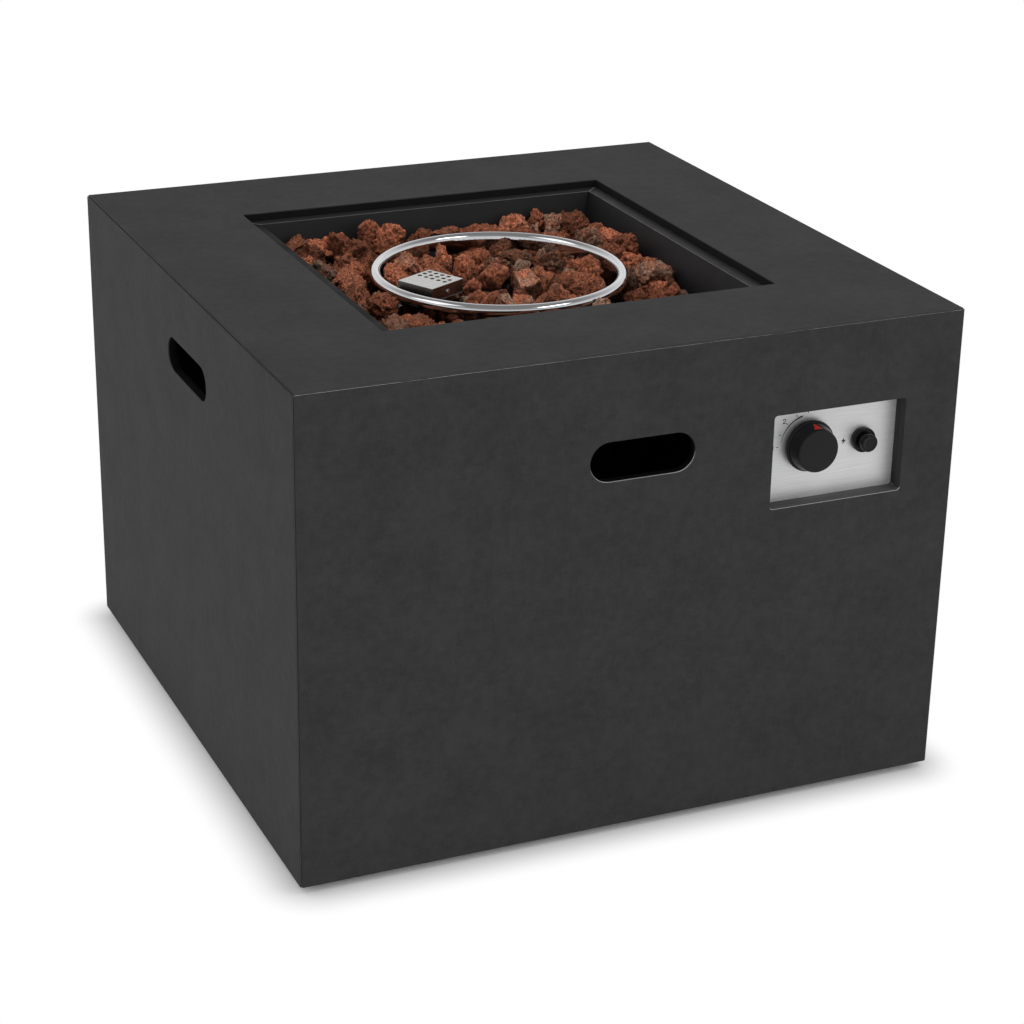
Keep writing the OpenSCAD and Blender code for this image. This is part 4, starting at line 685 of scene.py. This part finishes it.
def lavaClinker(s):
    material, tree, shader = newMaterial("lava clinker", s["rust"], s["roughness"], shine=s["shine"])
    where = addNode(tree, "ShaderNodeTexCoord").outputs["Object"]
    tint = addNode(tree, "ShaderNodeAttribute", attribute_name="tint").outputs["Fac"]
    pit = addNode(tree, "ShaderNodeAttribute", attribute_name="pit").outputs["Fac"]
    noises = {}
    for name, (size, octaves, rough) in s["noises"].items():
        noises[name] = addNode(tree, "ShaderNodeTexNoise", {"Vector": where, "Scale": grains(size),
                                                            "Detail": octaves, "Roughness": rough})
    mixed = addNode(tree, "ShaderNodeMath", {0: noises["patch"], 1: tint}, operation="ADD")
    mixed = addNode(tree, "ShaderNodeMapRange",
                    {"Value": mixed, "From Min": s["mixFrom"], "From Max": s["mixTo"]})
    colour = addNode(tree, "ShaderNodeValToRGB", {"Fac": mixed})
    stops = colour.color_ramp.elements
    stops[0].color = hexColour(s["brown"])
    stops[1].color = hexColour(s["ash"])
    for part in ("rustFrom", "rustTo"):
        stops.new(s[part]).color = hexColour(s["rust"])
    # gas holes are drawn a little larger than they are so that they show, dark inside as painted shade
    holes = addNode(tree, "ShaderNodeTexVoronoi", {"Vector": where, "Scale": grains(s["smallHole"])})
    rim = addNode(tree, "ShaderNodeMapRange",
                  {"Value": holes, "From Min": s["holeFrom"], "From Max": s["holeTo"],
                   "To Min": s["holeShade"]})
    # painted shade: darker in the pits of each rock's own shape
    pitShadow = addNode(tree, "ShaderNodeMapRange", {"Value": pit, "To Min": 1.0, "To Max": s["pitShade"]})
    flecked = addNode(tree, "ShaderNodeMapRange",
                      {"Value": noises["speck"], "From Min": s["speckFrom"], "From Max": s["speckTo"],
                       "To Min": s["speckDark"], "To Max": s["speckPale"]})
    # each rock has its own depth of tone, drawn from its tint
    own = addNode(tree, "ShaderNodeMath", {0: tint, 1: s["toneTurns"]}, operation="MULTIPLY")
    own = addNode(tree, "ShaderNodeMath", {0: own}, operation="FRACT")
    own = addNode(tree, "ShaderNodeMapRange", {"Value": own, "To Min": s["dim"], "To Max": s["pale"]})
    # painted light and shade: paler on what faces up, darker below
    normal = addNode(tree, "ShaderNodeNewGeometry").outputs["Normal"]
    upward = addNode(tree, "ShaderNodeSeparateXYZ", {0: normal}).outputs["Z"]
    toplit = addNode(tree, "ShaderNodeMapRange",
                     {"Value": upward, "From Min": s["undershadeFrom"], "From Max": s["toplitTo"],
                      "To Min": s["under"], "To Max": s["toplit"]})
    shade = rim
    for part in (pitShadow, flecked, own, toplit):
        shade = addNode(tree, "ShaderNodeMath", {0: shade, 1: part}, operation="MULTIPLY")
    shaded = addNode(tree, "ShaderNodeMix", {0: shade, 6: hexColour(s["hole"]), 7: colour}, data_type="RGBA",
                     clamp_factor=False)
    relief = addNode(tree, "ShaderNodeMath", {0: rim, 1: noises["speck"]}, operation="ADD")
    bump = addNode(tree, "ShaderNodeBump", {"Height": relief, "Strength": s["relief"],
                                            "Distance": s["reliefDeep"] * millimetre})
    feed(tree, shader, {"Base Color": shaded, "Normal": bump})
    return material


def rockIslands(node):
    # centre and half size of each separate rock of a CAD node
    shape = bmesh.new()
    shape.from_mesh(node.data)
    bmesh.ops.remove_doubles(shape, verts=shape.verts, dist=brokenEdge["weld"] * millimetre)
    found = []
    left = set(shape.verts)
    while left:
        queue = [left.pop()]
        island = []
        while queue:
            vert = queue.pop()
            island.append(vert.co.copy())
            for edge in vert.link_edges:
                other = edge.other_vert(vert)
                if other in left:
                    left.discard(other)
                    queue.append(other)
        low = Vector([min(c[i] for c in island) for i in range(3)])
        high = Vector([max(c[i] for c in island) for i in range(3)])
        found.append(((low + high) / 2, (high - low) / 2))
    shape.free()
    return sorted(found, key=lambda f: tuple(f[0]))


def rockForm(s, draw, detail):
    # one clinker of mean radius 1: a ball chipped flat by planes, then lumped, cragged and pitted
    shape = bmesh.new()
    bmesh.ops.create_icosphere(shape, subdivisions=detail, radius=1.0)
    chips = [(Vector((draw.gauss(0, 1), draw.gauss(0, 1), draw.gauss(0, 1))).normalized(),
              draw.uniform(s["chipFrom"], s["chipTo"])) for i in range(s["chips"])]
    stretch = [1 + draw.uniform(-s["stretch"], s["stretch"]) for i in range(3)]
    far = Vector([draw.uniform(-s["apart"], s["apart"]) for i in range(3)])
    pits = []
    for vert in shape.verts:
        p = vert.co.copy()
        for normal, depth in chips:
            p -= normal * max(0, p.dot(normal) - depth)
        p = Vector([p[i] * stretch[i] for i in range(3)])
        q = p + far
        pit = max(0, 1 - noise.voronoi(q * s["pitsAcross"])[0][0] / s["pitWide"])
        lump = s["lump"] * noise.noise(q * s["lumpTurns"])
        knobble = s["knobble"] * noise.noise(q * s["knobbleTurns"])
        grow = 1 + lump + knobble - s["pit"] * pit
        for k in (1, 2, 4):
            # sharp ridges round hollows of three sizes
            grow += s["crag"] / k * (s["cragRise"] - 2 * abs(noise.noise(q * s["cragTurns"] * k)))
        grow += s["grit"] * noise.noise(q * s["gritTurns"])
        vert.co = p * grow
        pits.append(pit)
    mean = sum(v.co.length for v in shape.verts) / len(shape.verts)
    points = [v.co / mean for v in shape.verts]
    faces = [[v.index for v in f.verts] for f in shape.faces]
    shape.free()
    return points, faces, pits


def rockBed(s):
    # the room that the rocks lie in: levels, widths and the pilot cover's place, in metres
    coverLow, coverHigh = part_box("pilot_cover")
    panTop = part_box("pan_floor")[1]
    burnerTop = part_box("gas_burner")[1]
    turn = math.radians(s["coverTurn"])
    half = (coverHigh.x - coverLow.x) / 2 / (math.cos(turn) + math.sin(turn))
    return {"floor": panTop.z, "half": panTop.x - s["panSkin"] * millimetre, "burnerTop": burnerTop.z,
            "burner": burnerTop.x, "cover": (coverLow + coverHigh) / 2, "cos": math.cos(turn),
            "sin": math.sin(turn), "coverHalf": half + s["coverGap"] * millimetre}


def offCover(bed, x, y):
    # place of a point in the cover's own turned square, from its middle
    dx, dy = x - bed["cover"].x, y - bed["cover"].y
    return dx * bed["cos"] + dy * bed["sin"], dy * bed["cos"] - dx * bed["sin"]


def keepClear(s, bed, p, inside):
    # a rock's point, moved off the pan, the ring, the burner and the pilot cover
    out = math.hypot(p.x, p.y)
    if inside:
        u, v = offCover(bed, p.x, p.y)
        over = bed["coverHalf"] - max(abs(u), abs(v))
        if over > 0:
            if abs(u) > abs(v):
                u += math.copysign(over, u)
            else:
                v += math.copysign(over, v)
            p.x = bed["cover"].x + u * bed["cos"] - v * bed["sin"]
            p.y = bed["cover"].y + u * bed["sin"] + v * bed["cos"]
            out = math.hypot(p.x, p.y)
        fit = min(1, s["ringInner"] * millimetre / max(out, millimetre))
    else:
        clear = s["bead"] if p.z > s["beadLow"] * millimetre else s["ringWall"]
        fit = max(1, clear * millimetre / max(out, millimetre))
    p.x *= fit
    p.y *= fit
    wall = bed["half"] + (p.z - bed["floor"]) * s["panSlope"]
    p.x = min(max(p.x, -wall), wall)
    p.y = min(max(p.y, -wall), wall)
    low = bed["burnerTop"] if inside and out < bed["burner"] + millimetre else bed["floor"]
    p.z = max(p.z, low + s["lift"] * millimetre)
    return p


def settle(s, draw, bed, rocks, inside, sizes, count, top):
    # further rocks, each in the lowest hollow that a few throws find
    reach = bed["half"] + s["reach"] * millimetre
    for n in range(count):
        best = None
        for k in range(s["throws"]):
            r = draw.uniform(*sizes) * millimetre
            x, y = draw.uniform(-reach, reach), draw.uniform(-reach, reach)
            out = math.hypot(x, y)
            if inside:
                offMiddle = max(abs(c) for c in offCover(bed, x, y))
                blocked = offMiddle < bed["coverHalf"] + s["coverRoom"] * r
                if blocked or out > s["ringInner"] * millimetre - r:
                    continue
            elif out < s["bead"] * millimetre + s["ringRoom"] * r:
                continue
            z = (bed["burnerTop"] if inside and out < bed["burner"] else bed["floor"]) + r
            for centre, half in rocks:
                near = math.hypot(x - centre.x, y - centre.y)
                touch = ((half.x + half.y + half.z) / 3 + r) * s["sink"]
                if near < touch:
                    z = max(z, centre.z + math.sqrt(touch * touch - near * near))
            wall = bed["half"] + (z - bed["floor"]) * s["panSlope"]
            front = not inside and y < s["frontFrom"] * millimetre and x < s["frontTo"] * millimetre
            limit = s["frontTop"] if front else top
            if max(abs(x), abs(y)) > wall - s["wallRoom"] * r or z + r > limit * millimetre:
                continue
            if best is None or z < best[0].z:
                best = (Vector((x, y, z)), Vector((r, r, r)))
        if best:
            rocks.append(best)
    return rocks


def quarter(centre):
    # the side of the pan that a rock lies on
    if abs(centre.y) > abs(centre.x):
        return "front" if centre.y < 0 else "rear"
    return "left" if centre.x < 0 else "right"


def rockHeap(s, draw, bed, forms, name, rocks, inside, material):
    # one mesh of many rocks, each a turned form; rocks is a list of centre, half size and kind of form
    points, faces, tints, pits = [], [], [], []
    for centre, half, kind in rocks:
        form, sides, holes = draw.choice(forms[kind])
        turn = Matrix.Rotation(draw.uniform(0, math.tau), 3, "Z")
        turn = turn @ Matrix.Rotation(draw.uniform(0, math.tau), 3, "X")
        tint = draw.random()
        first = len(points)
        for p in form:
            p = turn @ p * s["swell"]
            p = centre + Vector((p.x * half.x, p.y * half.y, p.z * half.z))
            points.append(keepClear(s, bed, p, inside))
        tints += [tint] * len(form)
        pits += holes
        faces += [[first + i for i in side] for side in sides]
    mesh = bpy.data.meshes.new(name)
    mesh.from_pydata(points, [], faces)
    mesh.polygons.foreach_set("use_smooth", [True] * len(mesh.polygons))
    mesh.attributes.new("tint", "FLOAT", "POINT").data.foreach_set("value", tints)
    mesh.attributes.new("pit", "FLOAT", "POINT").data.foreach_set("value", pits)
    mesh.materials.append(material)
    piece = bpy.data.objects.new(name, mesh)
    bpy.context.scene.collection.objects.link(piece)
    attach(piece, "table")
    print(name, len(rocks), "rocks")
    return piece


def makeRocks(s, material):
    draw = random.Random(s["seed"])
    bed = rockBed(s)
    forms = {}
    for kind in ("fine", "plain"):
        forms[kind] = [rockForm(s, draw, s[kind + "Detail"]) for i in range(s[kind + "Forms"])]
    for area, inside in (("around", False), ("middle", True)):
        node = "lava_rocks_" + area
        lower = rockIslands(nodes[node])
        count, top = (s["insideCount"], s["insideTop"]) if inside else (s["outsideCount"], s["outsideTop"])
        placed = settle(s, draw, bed, lower[:], inside, s["upper"], count[0], top)
        large = len(placed)
        placed = settle(s, draw, bed, placed, inside, s["rubble"], count[1], top)
        heaps = {}
        for i, (centre, half) in enumerate(placed):
            side = quarter(centre)
            if inside:
                side = "middleFront" if centre.y < 0 else "middleRear"
            kind = "fine" if len(lower) <= i < large else "plain"
            heaps.setdefault(side, []).append((centre, half, kind))
        for side in sorted(heaps):
            piece = rockHeap(s, draw, bed, forms, "lavaRocks." + side, heaps[side], inside, material)
            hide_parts(node)


makeRocks(lava, lavaClinker(lava))
print("lava rocks laid")


# Leads inside the casing, along the part's own routes, in millimetres

leadTube = {"steps": 8, "sides": 12}
leads = {
    "ignition_lead": {"radius": 1.5, "material": redSilicone, "slot": "lead_red", "route": [
        (-93.96, -41.03, 494.5), (-97.49, -42.91, 494.05), (-100.25, -44.37, 491.65), (-101.03, -44.78, 487),
        (-101.03, -44.78, 463), (-101.03, -44.78, 439), (-101.03, -44.78, 425), (-86.76, -66.25, 413.1),
        (-51.07, -121.11, 410.8), (20.29, -187.89, 410.1), (109.5, -235.6, 410.1), (191.57, -259.45, 408.9),
        (234.39, -266.6, 402), (252.23, -268.99, 390.9), (255.8, -273.76, 386.7), (255.8, -283.3, 386.7)]},
    "sensor_lead": {"radius": 1.2, "material": copperSleeve, "slot": "lead_copper", "route": [
        (-105.23, -19.84, 494.5), (-108.76, -21.72, 494.05), (-111.52, -23.18, 491.65),
        (-112.29, -23.59, 487), (-112.29, -23.59, 463), (-112.29, -23.59, 439), (-112.29, -23.59, 425),
        (-97.09, -43.17, 412.1), (-45.39, -101.9, 409), (61.04, -182.65, 404.8), (140.1, -224.25, 397.2),
        (178.12, -238.93, 390.9), (189.98, -251.17, 390.2), (191.8, -258.51, 390.2), (191.8, -268.3, 390.2)]},
}


def tubeAlong(shape, path, radius, sides):
    # round tube through the points, closed at both ends
    rings = []
    normal = Vector((0.3, 0.2, 0.9))  # any direction that no path starts along
    for i, p in enumerate(path):
        way = (path[min(i + 1, len(path) - 1)] - path[max(i - 1, 0)]).normalized()
        normal = (normal - way * normal.dot(way)).normalized()
        side = way.cross(normal)
        rings.append([shape.verts.new(p + radius * (math.cos(a) * normal + math.sin(a) * side))
                      for a in (2 * math.pi * k / sides for k in range(sides))])
    for a, b in zip(rings, rings[1:]):
        for k in range(sides):
            shape.faces.new((a[k], a[(k + 1) % sides], b[(k + 1) % sides], b[k]))
    shape.faces.new(rings[0][::-1])
    shape.faces.new(rings[-1])


def smoothPath(points, steps):
    # curve through every point
    path = []
    last = len(points) - 1
    for i in range(last):
        a, b, c, d = (points[min(max(j, 0), last)] for j in (i - 1, i, i + 1, i + 2))
        for k in range(steps):
            t = k / steps
            path.append(0.5 * (2 * b + (c - a) * t + (2 * a - 5 * b + 4 * c - d) * t * t
                               + (3 * b - a - 3 * c + d) * t * t * t))
    return path + [points[last]]


def tubeObject(name, path, radius, sides, material):
    return meshObject(name.replace("_", ""), lambda shape: tubeAlong(shape, path, radius, sides), material)


for name, s in leads.items():
    path = smoothPath([Vector(p) * millimetre for p in s["route"]], leadTube["steps"])
    lead = tubeObject(name, path, s["radius"] * millimetre, leadTube["sides"], s["material"])
    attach(lead, "table")
    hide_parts(name)
print("leads run")


# Coil springs behind the knob and in the igniter

coilTube = {"steps": 32, "sides": 10}
coils = {
    "knob_spring": {"joint": "knob_push", "turns": 4, "wire": 0.6, "keep": 0.6},
    "igniter_spring": {"joint": "igniter_press", "turns": 5, "wire": 0.6, "keep": 0.65},
}
for name, s in coils.items():
    low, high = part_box(name)
    middle = (low + high) / 2
    wire = s["wire"] * millimetre
    radius = (high.x - low.x) / 2 - wire
    steps = s["turns"] * coilTube["steps"]
    path = []
    for i in range(steps + 1):
        a = 2 * math.pi * i * s["turns"] / steps
        along = low.y + wire + (high.y - low.y - 2 * wire) * i / steps
        path.append(Vector((middle.x + radius * math.cos(a), along, middle.z + radius * math.sin(a))))
    coil = tubeObject(name, path, wire, coilTube["sides"], springSteel)
    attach(coil, "table")
    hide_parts(name)
    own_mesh(coil)
print("springs wound")
